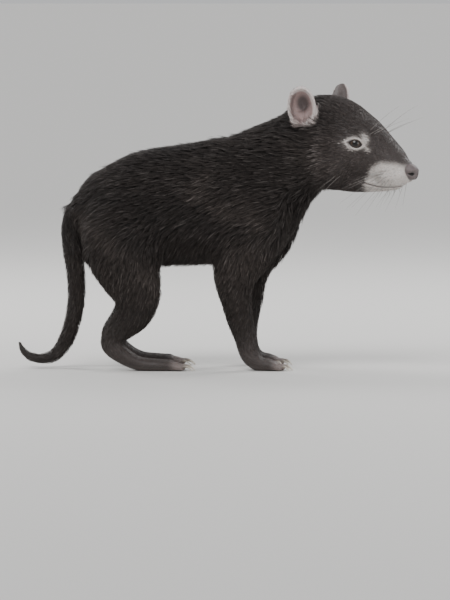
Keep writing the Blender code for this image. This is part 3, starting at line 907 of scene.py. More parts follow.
def eye_marks(colour, local):
    """Adds each eye's pale ring, tear line and spot, and the dark edge of its lids."""
    for side in (-1, 1):
        own, far = eye_parts(local, side)
        across, upward = own[:, 0], own[:, 1]
        near = (far < 32) & (own[:, 2] > -6)
        around = almond(across + np.where(across < 0, 1.5, 0), upward, EYE_RING)
        ring = bell(around, 2.3)
        tear = bell(to_polyline(own, TEAR_LINE), 2.1)
        spot = oval(across - 13.0 - 0.3 * (9 - upward), 4.4, upward - 9.5, 6.0)
        inner = 1 - smoothstep(almond(across, upward, EYE_OPENING), 0.3, 1.0)
        colour = mixed(colour, RING_PALE, np.clip(ring + tear + 1.3 * spot, 0, 0.92) * near)
        colour = mixed(colour, LIP_DARK, inner * 0.95 * near)
    return colour


def ear_colours(own, opening, side, patchy):
    """Ear colours at points of its own frame: bowl with painted shade deep in it, rim and back."""
    edge = ear_edge(own)
    rim = smoothstep(edge + 0.03 * patchy, 0.66, 0.84) * smoothstep(own[:, 0], -2.5, 1.5)
    # Painted shade: the bowl turns darker towards its deepest part.
    from_deepest = np.hypot((own[:, 1] * side + 3) / 12.0, (own[:, 2] - 4) / 17.0)
    inside = mixed(EAR_INSIDE, EAR_PAINTED_SHADE, 0.85 * (1 - smoothstep(from_deepest, 0.4, 1.0)))
    edging = smoothstep(edge, 0.8, 0.93) * smoothstep(own[:, 0], 0.0, 3.0)
    back = mixed(EAR_BACK, EAR_RIM, edging)
    return mixed(back, mixed(inside, EAR_RIM, rim), smoothstep(opening, -0.25, 0.1))


def markings(points, normals):
    """The colour of the coat and of bare skin at points of the body's frame."""
    local = in_head(points)
    forward, high = local[:, 0], local[:, 2]
    head = head_share(points)
    patchy = waves(points, 16, 3)
    colour = mixed(COAT_BLACK, COAT_BROWN, 0.3 + 0.3 * patchy)
    colour = mixed(colour, COAT_BROWN, 0.6 * smoothstep(200 - points[:, 2], 0, 60) * (1 - head))
    # Painted highlights: the coat turns paler brown in patches where light falls on the hair.
    colour = mixed(colour, PAINTED_HIGHLIGHT_BROWN, painted_highlights(points))
    sides = head * smoothstep(forward, 0, 60) * (1 - 0.3 * smoothstep(high, 330, 360))
    colour = mixed(colour, FACE_BROWN, sides * (0.75 + 0.25 * patchy))
    feet = (1 - smoothstep(points[:, 2], 20, 60)) * (1 - tail_share(points))
    colour = mixed(colour, FOOT_GREY, feet * 0.8)
    hind_toes = smoothstep(points[:, 0], -72, -56) * (points[:, 0] < -20)
    toes = np.maximum(smoothstep(points[:, 0], 72, 88), hind_toes)
    colour = mixed(colour, TOE_PALE, toes * (1 - smoothstep(points[:, 2], 12, 18)) * 0.8)
    top = np.interp(forward, MUZZLE_AHEAD, MUZZLE_TOP)
    pale = smoothstep(top + 2.5 * patchy - high, -5.0, 5.5) * smoothstep(forward, 70, 90)
    colour = mixed(colour, MUZZLE_PALE, pale * head)
    colour = mixed(colour, WHISKER_SPOT, 0.65 * whisker_spots(local) * head)
    colour = eye_marks(colour, local)
    lips = bell(from_lips(local), 1.2) * head * smoothstep(forward, 70, 84)
    colour = mixed(colour, LIP_DARK, 0.85 * lips)
    colour = mixed(colour, NOSE_GREY, (1 - smoothstep(from_pad(local), -0.6, 0.8)) * head)
    colour = mixed(colour, LIP_DARK, 0.5 * bell(from_pad(local), 1.0) * head)
    for side in (-1, 1):
        pit, slit = nostril_parts(local, side)
        hole = np.clip(1.4 * pit + 0.7 * slit, 0, 1)
        colour = mixed(colour, NOSTRIL_BLACK, smoothstep(hole, 0.45, 0.85) * head)
        share = ear_share(points) * (local[:, 1] * side > 20)
        opening = (normals @ HEAD_AXES @ ear_axes(side))[:, 0]
        colour = mixed(colour, ear_colours(in_ear(local, side), opening, side, patchy), share)
    return np.clip(colour, 0.003, 0.9)


def paint(mesh, colours):
    """Stores a colour for each point of a mesh."""
    layer = mesh.color_attributes.new("Markings", "FLOAT_COLOR", "POINT")
    values = np.column_stack([colours, np.ones(len(colours))])
    layer.data.foreach_set("color", values.astype(np.float32).ravel())


# Materials


def with_values(node, values):
    """Sets a node's own inputs. The names have _ where the inputs' names have spaces."""
    for name, value in values.items():
        node.inputs[name.replace("_", " ")].default_value = value
    return node


def new_material(name, **values):
    made = bpy.data.materials.new(name)
    made.use_nodes = True
    nodes, links = made.node_tree.nodes, made.node_tree.links
    return made, nodes, links, with_values(nodes["Principled BSDF"], values)


def texture(nodes, links, kind, **values):
    """A texture in the object's own space."""
    place = nodes.new("ShaderNodeTexCoord")
    made = with_values(nodes.new("ShaderNodeTex" + kind), values)
    links.new(place.outputs["Object"], made.inputs["Vector"])
    return made


def bump(nodes, links, source, strength, distance, shader, before=None):
    made = with_values(nodes.new("ShaderNodeBump"), {"Strength": strength, "Distance": distance})
    links.new(source, made.inputs["Height"])
    if before is not None:
        links.new(before.outputs["Normal"], made.inputs["Normal"])
    links.new(made.outputs["Normal"], shader.inputs["Normal"])
    return made


def marked_colour(nodes, links, shader, scale, low, high):
    """The stored markings, varied by a fine noise between the two factors."""
    stored = nodes.new("ShaderNodeVertexColor")
    stored.layer_name = "Markings"
    grain = texture(nodes, links, "Noise", Scale=scale, Detail=4.0)
    levels = {"From_Min": 0.3, "From_Max": 0.7, "To_Min": low, "To_Max": high}
    spread = with_values(nodes.new("ShaderNodeMapRange"), levels)
    links.new(grain.outputs["Fac"], spread.inputs["Value"])
    product = nodes.new("ShaderNodeVectorMath")
    product.operation = "SCALE"
    links.new(stored.outputs["Color"], product.inputs[0])
    links.new(spread.outputs["Result"], product.inputs["Scale"])
    links.new(product.outputs["Vector"], shader.inputs["Base Color"])


def skin_material():
    made, nodes, links, shader = new_material(
        "devil_skin",
        Roughness=0.55,
        Specular_IOR_Level=0.4,
        Subsurface_Weight=0.08,
        Subsurface_Radius=(0.004, 0.0015, 0.001),
    )
    marked_colour(nodes, links, shader, 900, 0.8, 1.2)
    pores = texture(nodes, links, "Voronoi", Scale=850)
    folds = texture(nodes, links, "Noise", Scale=240, Detail=4.0)
    first = bump(nodes, links, pores.outputs["Distance"], 0.35, 0.0005, shader)
    bump(nodes, links, folds.outputs["Fac"], 0.25, 0.0008, shader, first)
    return made


def coat_material():
    made, nodes, links, shader = new_material("devil_coat", Roughness=0.6, Specular_IOR_Level=0.24)
    marked_colour(nodes, links, shader, 1400, 0.75, 1.25)
    return made


def eye_material():
    """Dark iris round a black pupil, on an eye whose own z axis is its look."""
    made, nodes, links, shader = new_material(
        "devil_eye", Roughness=0.04, Specular_IOR_Level=0.35, Coat_Weight=0.15, Coat_Roughness=0.02
    )
    place = nodes.new("ShaderNodeTexCoord")
    apart = nodes.new("ShaderNodeSeparateXYZ")
    flat = nodes.new("ShaderNodeCombineXYZ")
    length = nodes.new("ShaderNodeVectorMath")
    length.operation = "LENGTH"
    scaled = with_values(nodes.new("ShaderNodeMapRange"), {"From_Max": EYE_RADIUS * MM})
    ramp = nodes.new("ShaderNodeValToRGB")
    links.new(place.outputs["Object"], apart.inputs["Vector"])
    for axis in "XY":
        links.new(apart.outputs[axis], flat.inputs[axis])
    links.new(flat.outputs["Vector"], length.inputs[0])
    links.new(length.outputs["Value"], scaled.inputs["Value"])
    links.new(scaled.outputs["Result"], ramp.inputs["Fac"])
    links.new(ramp.outputs["Color"], shader.inputs["Base Color"])
    stops = ramp.color_ramp.elements
    stops[1].position = EYE_COLOURS[1][0]
    for position, _ in EYE_COLOURS[2:]:
        stops.new(position)
    for stop, (_, colour) in zip(stops, EYE_COLOURS):
        stop.color = (*colour, 1)
    return made


def horn_material():
    made, nodes, links, shader = new_material("devil_claw", Roughness=0.38, Specular_IOR_Level=0.5)
    marked_colour(nodes, links, shader, 500, 0.8, 1.15)
    grain = texture(nodes, links, "Noise", Scale=900, Detail=4.0)
    bump(nodes, links, grain.outputs["Fac"], 0.2, 0.0003, shader)
    return made


def floor_material():
    made, nodes, links, shader = new_material("studio_floor", Base_Color=FLOOR_PALE, Roughness=0.7)
    grain = texture(nodes, links, "Noise", Scale=60, Detail=4.0)
    bump(nodes, links, grain.outputs["Fac"], 0.05, 0.0005, shader)
    return made


# Coat

# The regions of the coat, each made as one piece for each side of the body.
REGIONS = "muzzle cheek nape shoulder flank rump foreleg hindleg foot tail".split()

# A tuft's thickness along its length, as shares of its greatest, for the long and the short kind.
LONG_TUFT = ((0.0, 0.65), (0.38, 1.0), (0.72, 0.7))
SHORT_TUFT = ((0.0, 0.8), (0.5, 0.9))
# A factor on the number of tufts everywhere.
ALL_GROWTH = 0.95
# The lengths of tufts where the hair has these depths.
TUFT_DEPTHS = (0.25, 0.6, 1.5, 2.7, 4.0, 5.8, 7.5)
TUFT_LENGTHS = (2.2, 3.4, 5.8, 8.5, 11.5, 15.0, 19.0)
EAR_TUFT_LENGTH = 3.6
# Half the widths of tufts where the hair has these depths.
WIDTH_DEPTHS = (0.25, 1.0, 3.0, 7.5)
HALF_WIDTHS = (0.11, 0.17, 0.28, 0.46)
# The spread of the tufts' lengths, of their tips' heights as shares of the hair's depth, and of
# their widths.
LENGTH_SPREAD = (0.75, 1.2)
REACH_SPREAD = (0.55, 1.05)
WIDTH_SPREAD = (0.8, 1.2)
# The share of stray tufts, how much longer they are, and the spread of their tips' heights.
STRAY_SHARE = 0.04
STRAY_LONGER = 1.3
STRAY_REACH = (1.1, 1.5)
# Tufts clump: how many share a centre, how strongly their tips lean to it, and the greatest
# distance from it as a share of a tuft's length.
CLUMP_COUNT = 8
CLUMP_PULL = 0.55
CLUMP_WITHIN = 0.45
# The head's hair runs back from this place before the nose, in the head's frame, and spreads
# across and upwards by these shares.
HEAD_SOURCE = (168, 0, 292)
HEAD_SPREAD = (1.0, 0.55, 0.55)
# Painted shade: how much darker the skin is under the fur, as a share.
PAINTED_FUR_SHADE = 0.28
# The depth of hair from which the tufts are of the long kind.
LONG_FROM = 3.6
# How wide and high a tuft's place in the unwrap is.
PATCH = 0.003


def ear_fringe(points):
    """1 inside an ear along its front edge and its foot, where longer pale hair grows."""
    local = in_head(points)
    found = np.zeros(len(points))
    for side in (-1, 1):
        own = in_ear(local, side)
        ahead = smoothstep(own[:, 1] * side, 3, 9)
        foot = 1 - smoothstep(own[:, 2], -22, -12)
        mouth = smoothstep(own[:, 0], -6, 0) * (local[:, 1] * side > 20)
        edge = smoothstep(ear_edge(own), 0.45, 0.75)
        found = np.maximum(found, np.maximum(ahead, foot) * mouth * edge)
    return found * ear_share(points)


def hair_depth(points):
    """How far hair stands off the skin: the coat's depth, shorter round the eyes and the lips."""
    local = in_head(points)
    depth = coat_depth(points) + 2.2 * ear_fringe(points)
    for side in (-1, 1):
        own, far = eye_parts(local, side)
        outside = almond(own[:, 0], own[:, 1], EYE_OPENING)
        depth = depth * np.where(far < 34, 0.25 + 0.75 * smoothstep(outside, 1, 14), 1.0)
    return np.maximum(depth, 0.25)


def tail_way(points):
    """The way along the tail towards its tip."""
    line = np.array([ring[:3] for ring in TAIL], float)
    ways = unit(np.gradient(line, axis=0))
    nearest = np.linalg.norm(points[:, None, :] - line[None, :, :], axis=2).argmin(1)
    return ways[nearest]


def lie(points, normals):
    """The way the hair lies along the skin at points of the body's frame."""
    local = in_head(points)
    side = np.sign(points[:, 1])
    head = smoothstep(local[:, 0], -45, -5) * (points[:, 2] > 190)
    away = (local - HEAD_SOURCE) * HEAD_SPREAD
    cheek = oval(local[:, 0] - 20, 40, local[:, 2] - 285, 30)
    away[:, 2] -= 30 * cheek
    on_head = unit(away) @ HEAD_AXES.T
    fall = np.interp(points[:, 2], (120, 180, 240, 300), (0.25, 0.55, 0.4, 0.12))
    on_trunk = np.column_stack([-np.ones(len(points)), 0.05 * side, -fall])
    front = smoothstep(normals[:, 0], 0.1, 0.7) * smoothstep(points[:, 0], 20, 70)
    on_chest = np.array((-0.35, 0.0, -1.0))
    on_trunk = mixed(on_trunk, on_chest, front)
    way = mixed(unit(on_trunk), unit(np.array((-0.3, 0.0, -1.0))), leg_share(points))
    feet = (1 - smoothstep(points[:, 2], 16, 44)) * (points[:, 0] > -178)
    way = mixed(way, (1.0, 0.0, -0.35), feet)
    way = mixed(way, tail_way(points), tail_share(points))
    way = mixed(way, on_head, head)
    upward = mixed((-0.15, 0.0, 1.0), (-0.9, 0.0, 0.5), ear_fringe(points))
    way = mixed(way, upward @ HEAD_AXES.T, ear_share(points))
    sway = np.column_stack([waves(points, 26, seed) for seed in (21, 22, 23)])
    fine = np.column_stack([waves(points, 7, seed) for seed in (24, 25, 26)])
    way = unit(way) + 0.16 * sway + 0.12 * fine
    way -= normals * (way * normals).sum(1)[:, None]
    return unit(way)


def thickness_of_growth(points, normals):
    """How many tufts grow on each square millimetre of skin."""
    local = in_head(points)
    forward = local[:, 0]
    head, ears = head_share(points), ear_share(points)
    on_head = np.interp(forward, (-20, 20, 50, 80, 110, 138), (0.27, 0.36, 0.6, 0.85, 1.0, 1.0))
    on_legs = np.interp(points[:, 2], (10, 40, 110, 170), (0.55, 0.45, 0.34, 0.27))
    grown = between(between(0.25, on_head, head), on_legs, leg_share(points))
    grown = between(between(grown, 0.36, tail_share(points)), 0.55, ears)
    opening = np.zeros(len(points))
    for side in (-1, 1):
        own, far = eye_parts(local, side)
        lids = (almond(own[:, 0], own[:, 1], EYE_OPENING) < 1.5) & (far < 22) & (own[:, 2] > -2)
        grown[lids] = 0
        way = (normals @ HEAD_AXES @ ear_axes(side))[:, 0]
        bowl = (ear_edge(in_ear(local, side)) < 0.78) & (way > 0.0)
        opening = np.maximum(opening, bowl * (local[:, 1] * side > 20) * ears)
    grown *= 1 - opening * (1 - ear_fringe(points))
    grown[from_pad(local) < 0.6] = 0
    grown[(np.abs(from_lips(local)) < 1.3) & (forward > 74) & (head > 0.5)] = 0
    grown *= ALL_GROWTH
    grown[(points[:, 2] < 3.2) | ((points[:, 2] < 8) & (normals[:, 2] < -0.5))] = 0
    return grown


def region_of(points):
    """The index in REGIONS of the region that each point of the skin belongs to."""
    ahead = points[:, 0]
    head = head_share(points) > 0.5
    low = leg_share(points) > 0.3
    later_ones_win = {
        "shoulder": ahead > 38,
        "rump": ahead < -92,
        "nape": (ahead > 88) & ~head,
        "foreleg": low & (ahead > -40),
        "hindleg": low & (ahead < -40),
        "foot": points[:, 2] < 40,
        "tail": tail_share(points) > 0.5,
        "cheek": head,
        "muzzle": head & (in_head(points)[:, 0] > 64),
    }
    found = np.full(len(points), REGIONS.index("flank"))
    for name, inside in later_ones_win.items():
        found[inside] = REGIONS.index(name)
    return found


def corner_values(mesh, points, normals):
    """Each triangle's corners: their places, their normals and their places in the unwrap."""
    mesh.calc_loop_triangles()
    count = len(mesh.loop_triangles)
    corners = np.empty(count * 3, int)
    loops = np.empty(count * 3, int)
    mesh.loop_triangles.foreach_get("vertices", corners)
    mesh.loop_triangles.foreach_get("loops", loops)
    unwrap = np.empty(len(mesh.loops) * 2)
    mesh.uv_layers["OFBake"].data.foreach_get("uv", unwrap)
    unwrap = unwrap.reshape(-1, 2)[loops].reshape(-1, 3, 2)
    corners = corners.reshape(-1, 3)
    return points[corners], normals[corners], unwrap


def roots(body, rng):
    """Places on the skin where tufts grow, with their normals and their places in the unwrap."""
    places, normals, unwrap = corner_values(body.data, points_of(body), normals_of(body))
    first, second = places[:, 1] - places[:, 0], places[:, 2] - places[:, 0]
    area = 0.5 * np.linalg.norm(np.cross(first, second), axis=1)
    expected = area * thickness_of_growth(places.mean(1), unit(normals.mean(1)))
    index = np.repeat(np.arange(len(area)), np.floor(expected + rng.random(len(area))).astype(int))
    first, second = rng.random((2, len(index)))
    folded = first + second > 1
    first[folded], second[folded] = 1 - first[folded], 1 - second[folded]
    shares = np.column_stack([1 - first - second, first, second])[:, :, None]
    place, normal, spot = [(values[index] * shares).sum(1) for values in (places, normals, unwrap)]
    return place, unit(normal), spot


def on_skin(tree, points):
    """The nearest places on the skin and the normals there."""
    shifted = (points + STANDING_SHIFT) * MM
    places = np.empty_like(points)
    normals = np.empty_like(points)
    for i, point in enumerate(shifted.tolist()):
        place, normal, _, _ = tree.find_nearest(point)
        places[i] = place
        normals[i] = normal
    return places / MM - STANDING_SHIFT, normals


def nearest_centre(places, centres):
    tree = KDTree(len(centres))
    for i, place in enumerate(centres.tolist()):
        tree.insert(place, i)
    tree.balance()
    return np.array([tree.find(place)[1] for place in places.tolist()])


def tuft_paths(tree, root, normal, stops, rng):
    """Where each tuft runs: its points at the stops and its tip, along the skin and off it."""
    depth = hair_depth(root)
    length = np.interp(depth, TUFT_DEPTHS, TUFT_LENGTHS)
    on_ears = EAR_TUFT_LENGTH * ear_share(root) + EAR_TUFT_LENGTH * ear_fringe(root)
    length = np.maximum(length, on_ears)
    length *= rng.uniform(*LENGTH_SPREAD, len(root))
    reach = depth * rng.uniform(*REACH_SPREAD, len(root))
    stray = (rng.random(len(root)) < STRAY_SHARE) & (depth > 3)
    length = np.where(stray, length * STRAY_LONGER, length)
    reach = np.where(stray, depth * rng.uniform(*STRAY_REACH, len(root)), reach)
    place, facing, done = root, normal, 0.0
    path = [root - normal * 0.3]
    later = [*stops[1:], 1.0]
    for stop in later:
        way = lie(place, facing)
        way = unit(way + 0.10 * rng.normal(size=way.shape))
        place, facing = on_skin(tree, place + way * (length * (stop - done))[:, None])
        path.append(place + facing * (reach * stop**0.8)[:, None])
        done = stop
    path = np.stack(path, 1)
    hanging = smoothstep(-normal[:, 2], 0.3, 0.9) * (depth > 4) * (1 + waves(root, 6, 51))
    path[:, -1, 2] -= 2.4 * hanging
    chosen = rng.choice(len(root), max(1, len(root) // CLUMP_COUNT), replace=False)
    centre = chosen[nearest_centre(root, root[chosen])]
    pull = CLUMP_PULL * np.array([0.0] + [stop**1.3 for stop in later])
    near = np.linalg.norm(root - root[centre], axis=1) < CLUMP_WITHIN * length
    path += (path[centre] - path) * (pull[None, :] * near[:, None])[:, :, None]
    return path, depth


def tuft_meshes(path, normal, half, profile):
    """The points of three-sided tapered tufts along the paths, and one tuft's faces."""
    ways = unit(np.gradient(path, axis=1))
    upward = unit(normal[:, None, :] - ways * (ways * normal[:, None, :]).sum(2)[:, :, None])
    across = np.cross(ways, upward)
    rings = []
    for k, (_, share) in enumerate(profile):
        wide = (half * share)[:, None]
        rings.append(path[:, k] + upward[:, k] * wide * 0.55)
        rings.append(path[:, k] + across[:, k] * wide - upward[:, k] * wide * 0.2)
        rings.append(path[:, k] - across[:, k] * wide - upward[:, k] * wide * 0.2)
    rings.append(path[:, -1])
    faces = [(0, 2, 1)]
    for k in range(len(profile) - 1):
        for j in range(3):
            a, b = 3 * k + j, 3 * k + (j + 1) % 3
            faces += [(a, b, b + 3), (a, b + 3, a + 3)]
    last = 3 * (len(profile) - 1)
    faces += [(last + j, last + (j + 1) % 3, last + 3) for j in range(3)]
    return np.stack(rings, 1), np.array(faces)


def tuft_colours(root, normal, profile, rng):
    """The markings at each tuft's root, paler towards the tip, with a tint of its own."""
    colour = markings(root + rng.normal(0, 1.6, root.shape), normal)
    local = in_head(root)
    tint = np.exp(rng.normal(0, 0.22, len(root)))
    dark = colour.mean(1) < 0.12
    cheek = oval(local[:, 0] - 42, 36, local[:, 2] - 300, 34)
    streak = smoothstep(waves(root, 5, 41), -0.2, 0.6)
    cheek *= streak * head_share(root)
    guard = dark & (rng.random(len(root)) < 0.10 + 0.5 * cheek)
    lift = (0.032 + 0.075 * cheek)[:, None] * np.array((1.0, 0.92, 0.89))
    colour = np.where(guard[:, None], colour * 1.5 + lift, colour) * tint[:, None]
    along = [0.78 + 0.5 * stop for stop, _ in profile for _ in range(3)] + [1.35]
    return np.clip(colour[:, None, :] * np.array(along)[None, :, None], 0.002, 0.85)


def tuft_piece(name, parts, material):
    """One mesh of tufts. Each part has points, one tuft's faces, colours and unwrapped roots."""
    vertices, corners, colours, unwraps, start = [], [], [], [], 0
    for points, faces, colour, unwrap, stops in parts:
        count, size = points.shape[:2]
        vertices.append(points.reshape(-1, 3))
        offsets = start + np.arange(count)[:, None, None] * size
        corners.append((faces[None] + offsets).reshape(-1))
        colours.append(colour.reshape(-1, 3))
        across = np.array([(0.5, 0.0, 1.0)[k % 3] for k in range(size - 1)] + [0.5])
        along = np.array([stop for stop in stops for _ in range(3)] + [1.0])
        patch = (np.column_stack([across, along]) - 0.5) * PATCH
        own = unwrap[:, None, :] + patch[None]
        unwraps.append(own[:, faces.reshape(-1)].reshape(-1, 2))
        start += count * size
    vertices = (np.vstack(vertices) + STANDING_SHIFT) * MM
    corners = np.concatenate(corners)
    mesh = bpy.data.meshes.new(name)
    mesh.vertices.add(len(vertices))
    mesh.vertices.foreach_set("co", vertices.ravel())
    mesh.loops.add(len(corners))
    mesh.loops.foreach_set("vertex_index", corners)
    mesh.polygons.add(len(corners) // 3)
    mesh.polygons.foreach_set("loop_start", np.arange(0, len(corners), 3))
    mesh.update(calc_edges=True)
    layer = mesh.uv_layers.new(name="OFBake")
    layer.data.foreach_set("uv", np.vstack(unwraps).ravel())
    paint(mesh, np.vstack(colours))
    mesh.shade_smooth()
    mesh.materials.append(material)
    made = linked(name, mesh)
    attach(made, "root")


def coat(body, tree, material):
    """Tufts all over the skin, along the lie of the hair, whose tips reach the solids' outline."""
    rng = np.random.default_rng(SEED)
    root, normal, unwrap = roots(body, rng)
    groups = {}
    is_long = hair_depth(root) > LONG_FROM
    for chosen, profile in ((is_long, LONG_TUFT), (~is_long, SHORT_TUFT)):
        stops = [stop for stop, _ in profile]
        own_root, own_normal, own_unwrap = root[chosen], normal[chosen], unwrap[chosen]
        path, depth = tuft_paths(tree, own_root, own_normal, stops, rng)
        half = np.interp(depth, WIDTH_DEPTHS, HALF_WIDTHS)
        half *= rng.uniform(*WIDTH_SPREAD, len(half))
        points, faces = tuft_meshes(path, own_normal, half, profile)
        colours = tuft_colours(own_root, own_normal, profile, rng)
        aside = np.where(head_share(own_root) > 0.5, in_head(own_root)[:, 1], own_root[:, 1])
        region = region_of(own_root) * 2 + (aside > 0)
        for index in np.unique(region):
            mine = region == index
            part = (points[mine], faces, colours[mine], own_unwrap[mine], stops)
            groups.setdefault(index, []).append(part)
    for index, parts in sorted(groups.items()):
        region = REGIONS[index // 2]
        title = "coat_" + region + ("_left" if index % 2 else "_right")
        tuft_piece(title, parts, material)


def unwrapped(item):
    """Unwraps the skin by its own shape."""
    item.data.uv_layers.new(name="OFBake")
    bpy.context.view_layer.objects.active = item
    item.select_set(True)
    bpy.ops.object.mode_set(mode="EDIT")
    bpy.ops.mesh.select_all(action="SELECT")
    bpy.ops.uv.smart_project(angle_limit=math.radians(70), island_margin=0.001)
    bpy.ops.object.mode_set(mode="OBJECT")
    item.select_set(False)


# Eyes, claws and whiskers


def eye(side, title, material):
    """A ball with a slightly raised cornea, whose own z axis is its look."""
    centre, nose, upward, look = eye_frame(side)
    work = bmesh.new()
    bmesh.ops.create_uvsphere(work, u_segments=64, v_segments=48, radius=EYE_RADIUS)
    for vert in work.verts:
        aside = vert.co.to_2d().length / CORNEA_RADIUS
        vert.co *= 1 + CORNEA_HEIGHT * math.exp(-(aside**2)) * (vert.co.z > 0)
    mesh = bpy.data.meshes.new("eye_" + title)
    work.to_mesh(mesh)
    work.free()
    mesh.transform(Matrix.Scale(MM, 4))
    made = linked("eyeball_" + title, mesh)
    axes = np.column_stack([HEAD_AXES @ axis for axis in (nose, upward, look)])
    if np.linalg.det(axes) < 0:
        axes[:, 0] *= -1
    place = Matrix.Translation(Vector((from_head(centre) + STANDING_SHIFT) * MM))
    made.matrix_world = place @ Matrix(axes.tolist()).to_4x4()
    mesh.shade_smooth()
    mesh.materials.append(material)
    return made


def lid_rim(side, title, material):
    """The dark, bare edge of the lids: a thin tube round the opening, on the ball."""
    centre, nose, upward, look = eye_frame(side)
    count, sides, thick = 72, 10, 0.5
    angles = np.arange(count) * 2 * math.pi / count
    across = EYE_OPENING[0] * np.cos(angles)
    up = np.sign(np.sin(angles)) * almond_edge(across, EYE_OPENING)
    out = np.sqrt(np.maximum((EYE_RADIUS + 0.25) ** 2 - across**2 - up**2, 1.0))
    line = np.column_stack([across, up, out])
    ways = unit(np.roll(line, -1, 0) - np.roll(line, 1, 0))
    outward = unit(line)
    beside = unit(np.cross(ways, outward))
    turns = np.arange(sides) * 2 * math.pi / sides
    rings = (
        line[:, None, :]
        + thick * np.cos(turns)[None, :, None] * beside[:, None, :]
        + thick * np.sin(turns)[None, :, None] * outward[:, None, :]
    ).reshape(-1, 3)
    points = from_head(centre + rings @ np.array((nose, upward, look)))
    made = closed_object("lid_rim_" + title, (points, tube_faces(count, sides, looped=True)))
    paint(made.data, np.tile(LIP_DARK, (len(points), 1)) * 0.3)
    made.data.shade_smooth()
    made.data.materials.append(material)
    return made


# Whiskers of one side: the root in the head's frame, the way that the whisker leaves, its length,
# and how far its tip hangs.
WHISKERS = [
    ((112, 28, 280), (-0.86, 0.36, -0.30), 64, 8),
    ((108, 28, 276), (-0.82, 0.34, -0.46), 68, 9),
    ((112, 27, 273), (-0.76, 0.34, -0.56), 66, 8),
    ((117, 27, 276), (-0.72, 0.38, -0.60), 62, 8),
    ((115, 26, 270), (-0.62, 0.34, -0.70), 60, 7),
    ((121, 25, 273), (-0.52, 0.38, -0.78), 54, 6),
    ((104, 28, 278), (-0.90, 0.34, -0.26), 58, 7),
    ((116, 27, 284), (-0.80, 0.46, -0.12), 50, 9),
    ((124, 23, 270), (-0.34, 0.34, -0.86), 40, 4),
    ((86, 20, 337), (0.74, 0.10, 0.66), 66, 8),
    ((91, 18, 332), (0.90, 0.00, 0.44), 62, 4),
    ((88, 24, 333), (0.86, 0.05, 0.50), 48, 6),
    ((58, 44, 284), (-0.80, 0.42, -0.46), 40, 8),
    ((55, 43, 280), (-0.72, 0.40, -0.58), 34, 6),
    ((112, 9, 257), (-0.20, 0.25, -0.95), 17, -4),
    ((120, 8, 258), (0.05, 0.25, -0.97), 14, -3),
    ((104, 12, 256), (-0.30, 0.30, -0.92), 20, -5),
]
WHISKER_RADIUS = 0.36


def whisker_form(tree, side, root, way, length, hang):
    """A thin tapered hair that leaves the skin and bends over towards its tip."""
    place, _ = on_skin(tree, from_head(np.array([root]) * (1, side, 1)))
    way = HEAD_AXES @ unit(np.array(way) * (1, side, 1))
    rings = []
    for t in np.linspace(0, 1, 9):
        point = place[0] + way * (length * t - 1.5) - np.array((0, 0, hang * t * t))
        radius = WHISKER_RADIUS * (1 - 0.85 * t)
        rings.append(Ring(*point, radius, radius, radius))
    return loft(rings, power=2.0, steps=1, sides=6, cap=0.3, domes=1)


def skin_tree(body):
    work = bmesh.new()
    work.from_mesh(body.data)
    tree = BVHTree.FromBMesh(work)
    work.free()
    return tree


def whiskers(tree, material):
    parts = [whisker_form(tree, side, *row) for row in WHISKERS for side in (-1, 1)]
    colours = [np.tile(WHISKER_GREY, (len(points), 1)) for points, _ in parts]
    made = joined_forms("whiskers", parts, colours)
    made.data.materials.append(material)
    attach(made, "root")


def claw_form(line, length):
    """A curved claw that leaves the toe's tip, arches over and ends just above the floor."""
    root, tip = line
    way = unit(tip - root)
    level = unit(way * (1, 1, 0))
    start = tip + way * TOE_RADIUS * 0.35 + np.array((0, 0, 1.4))
    rings = []
    for t in np.linspace(0, 1, 9):
        drop = (tip[2] + 0.6) * t**1.8 - 1.6 * math.sin(math.pi * t)
        point = start + level * (length * t) - np.array((0, 0, drop))
        radius = CLAW_ROOT_RADIUS + (CLAW_TIP_RADIUS - CLAW_ROOT_RADIUS) * t**1.1
        rings.append(Ring(*point, radius * 0.8, radius, radius))
    return loft(rings, power=2.0, steps=2, sides=14, cap=0.3, domes=2)


def joined_forms(name, parts, colours):
    """One painted mesh of several closed forms."""
    points, faces, tints, start = [], [], [], 0
    for (form_points, form_faces), tint in zip(parts, colours):
        points.append(form_points)
        faces += [tuple(start + index for index in face) for face in form_faces]
        tints.append(tint)
        start += len(form_points)
    made = closed_object(name, (np.vstack(points), faces))
    paint(made.data, np.vstack(tints))
    made.data.shade_smooth()
    return made


def claws(material):
    parts, colours = [], []
    for foot, _, line in all_toes():
        form = claw_form(line, CLAW_LENGTH[foot])
        along = form[0][:, 0] - form[0][:, 0].min()
        share = smoothstep(along / along.max(), 0.1, 0.9)
        parts.append(form)
        colours.append(mixed(CLAW_ROOT, CLAW_TIP, share))
    made = joined_forms("claws", parts, colours)
    made.data.materials.append(material)
    return made


def floor(material):
    bpy.ops.mesh.primitive_plane_add(size=60)
    made = bpy.context.object
    made.name = "studio_floor"
    made.data.materials.append(material)


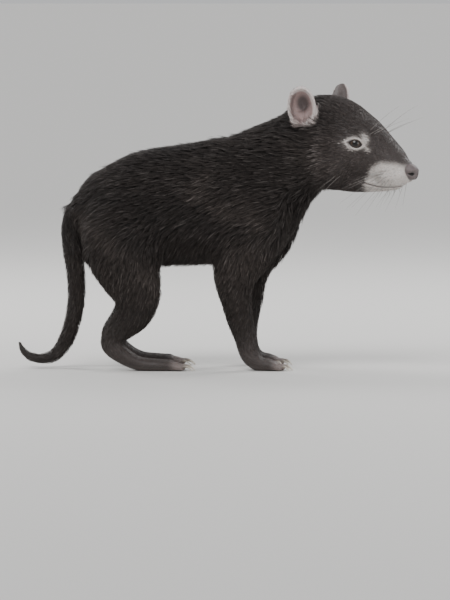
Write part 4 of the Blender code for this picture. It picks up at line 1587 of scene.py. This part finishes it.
def camera():
    """A long lens at the photograph's viewing angle, level with the animal's side."""
    elevation, distance = math.radians(4.0), 8.0
    pixel, picture_height = 1.42 * MM, 600
    aim = Vector((0.0114, 0.0, 0.0968))
    way = Vector((0, math.cos(elevation), -math.sin(elevation)))
    data = bpy.data.cameras.new("camera")
    data.sensor_width = 36
    data.lens = distance * data.sensor_width / (picture_height * pixel)
    made = linked("camera", data)
    made.location = aim - way * distance
    made.rotation_euler = way.to_track_quat("-Z", "Y").to_euler()
    bpy.context.scene.camera = made


def light(name, place, aim, size, power):
    data = bpy.data.lights.new(name, "AREA")
    data.shape = "DISK"
    data.size = size
    data.energy = power
    made = linked(name, data)
    made.location = place
    made.rotation_euler = (Vector(aim) - Vector(place)).to_track_quat("-Z", "Y").to_euler()


def sun(name, way, power):
    data = bpy.data.lights.new(name, "SUN")
    data.energy = power
    data.angle = math.radians(35)
    made = linked(name, data)
    made.rotation_euler = Vector(way).to_track_quat("Z", "Y").to_euler()


def studio():
    world = bpy.data.worlds.new("studio")
    bpy.context.scene.world = world
    world.use_nodes = True
    background = world.node_tree.nodes["Background"]
    background.inputs["Color"].default_value = (0.80, 0.81, 0.83, 1)
    background.inputs["Strength"].default_value = 0.75
    middle = (0, 0, 0.2)
    sun("key", (-0.45, -1.0, 1.25), 2.1)
    light("fill", (2.2, -1.6, 1.0), middle, 1.6, 14)
    light("rim_right", (1.4, 1.6, 1.7), middle, 1.2, 32)
    light("rim_left", (-1.6, 1.5, 1.5), middle, 1.2, 36)


def main():
    body = skin()
    points, normals = points_of(body), normals_of(body)
    furred = smoothstep(thickness_of_growth(points, normals), 0.05, 0.2)[:, None]
    # The skin under the fur is painted darker, as painted shade from the coat.
    paint(body.data, markings(points, normals) * (1 - PAINTED_FUR_SHADE * furred))
    body.data.materials.append(skin_material())
    unwrapped(body)
    tree = skin_tree(body)
    hair = coat_material()
    coat(body, tree, hair)
    whiskers(tree, hair)
    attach(body, "root")
    flesh = [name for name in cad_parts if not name.startswith(("claw_", "eye_"))]
    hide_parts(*flesh)
    ball_look, horn = eye_material(), horn_material()
    for side, title in ((-1, "right"), (1, "left")):
        made = eye(side, title, ball_look)
        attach(made, "root")
        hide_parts("eye_" + title)
        rim = lid_rim(side, title, body.data.materials[0])
        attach(rim, "root")
    nails = claws(horn)
    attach(nails, "root")
    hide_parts(*[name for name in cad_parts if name.startswith("claw_")])
    floor(floor_material())
    studio()
    camera()


main()
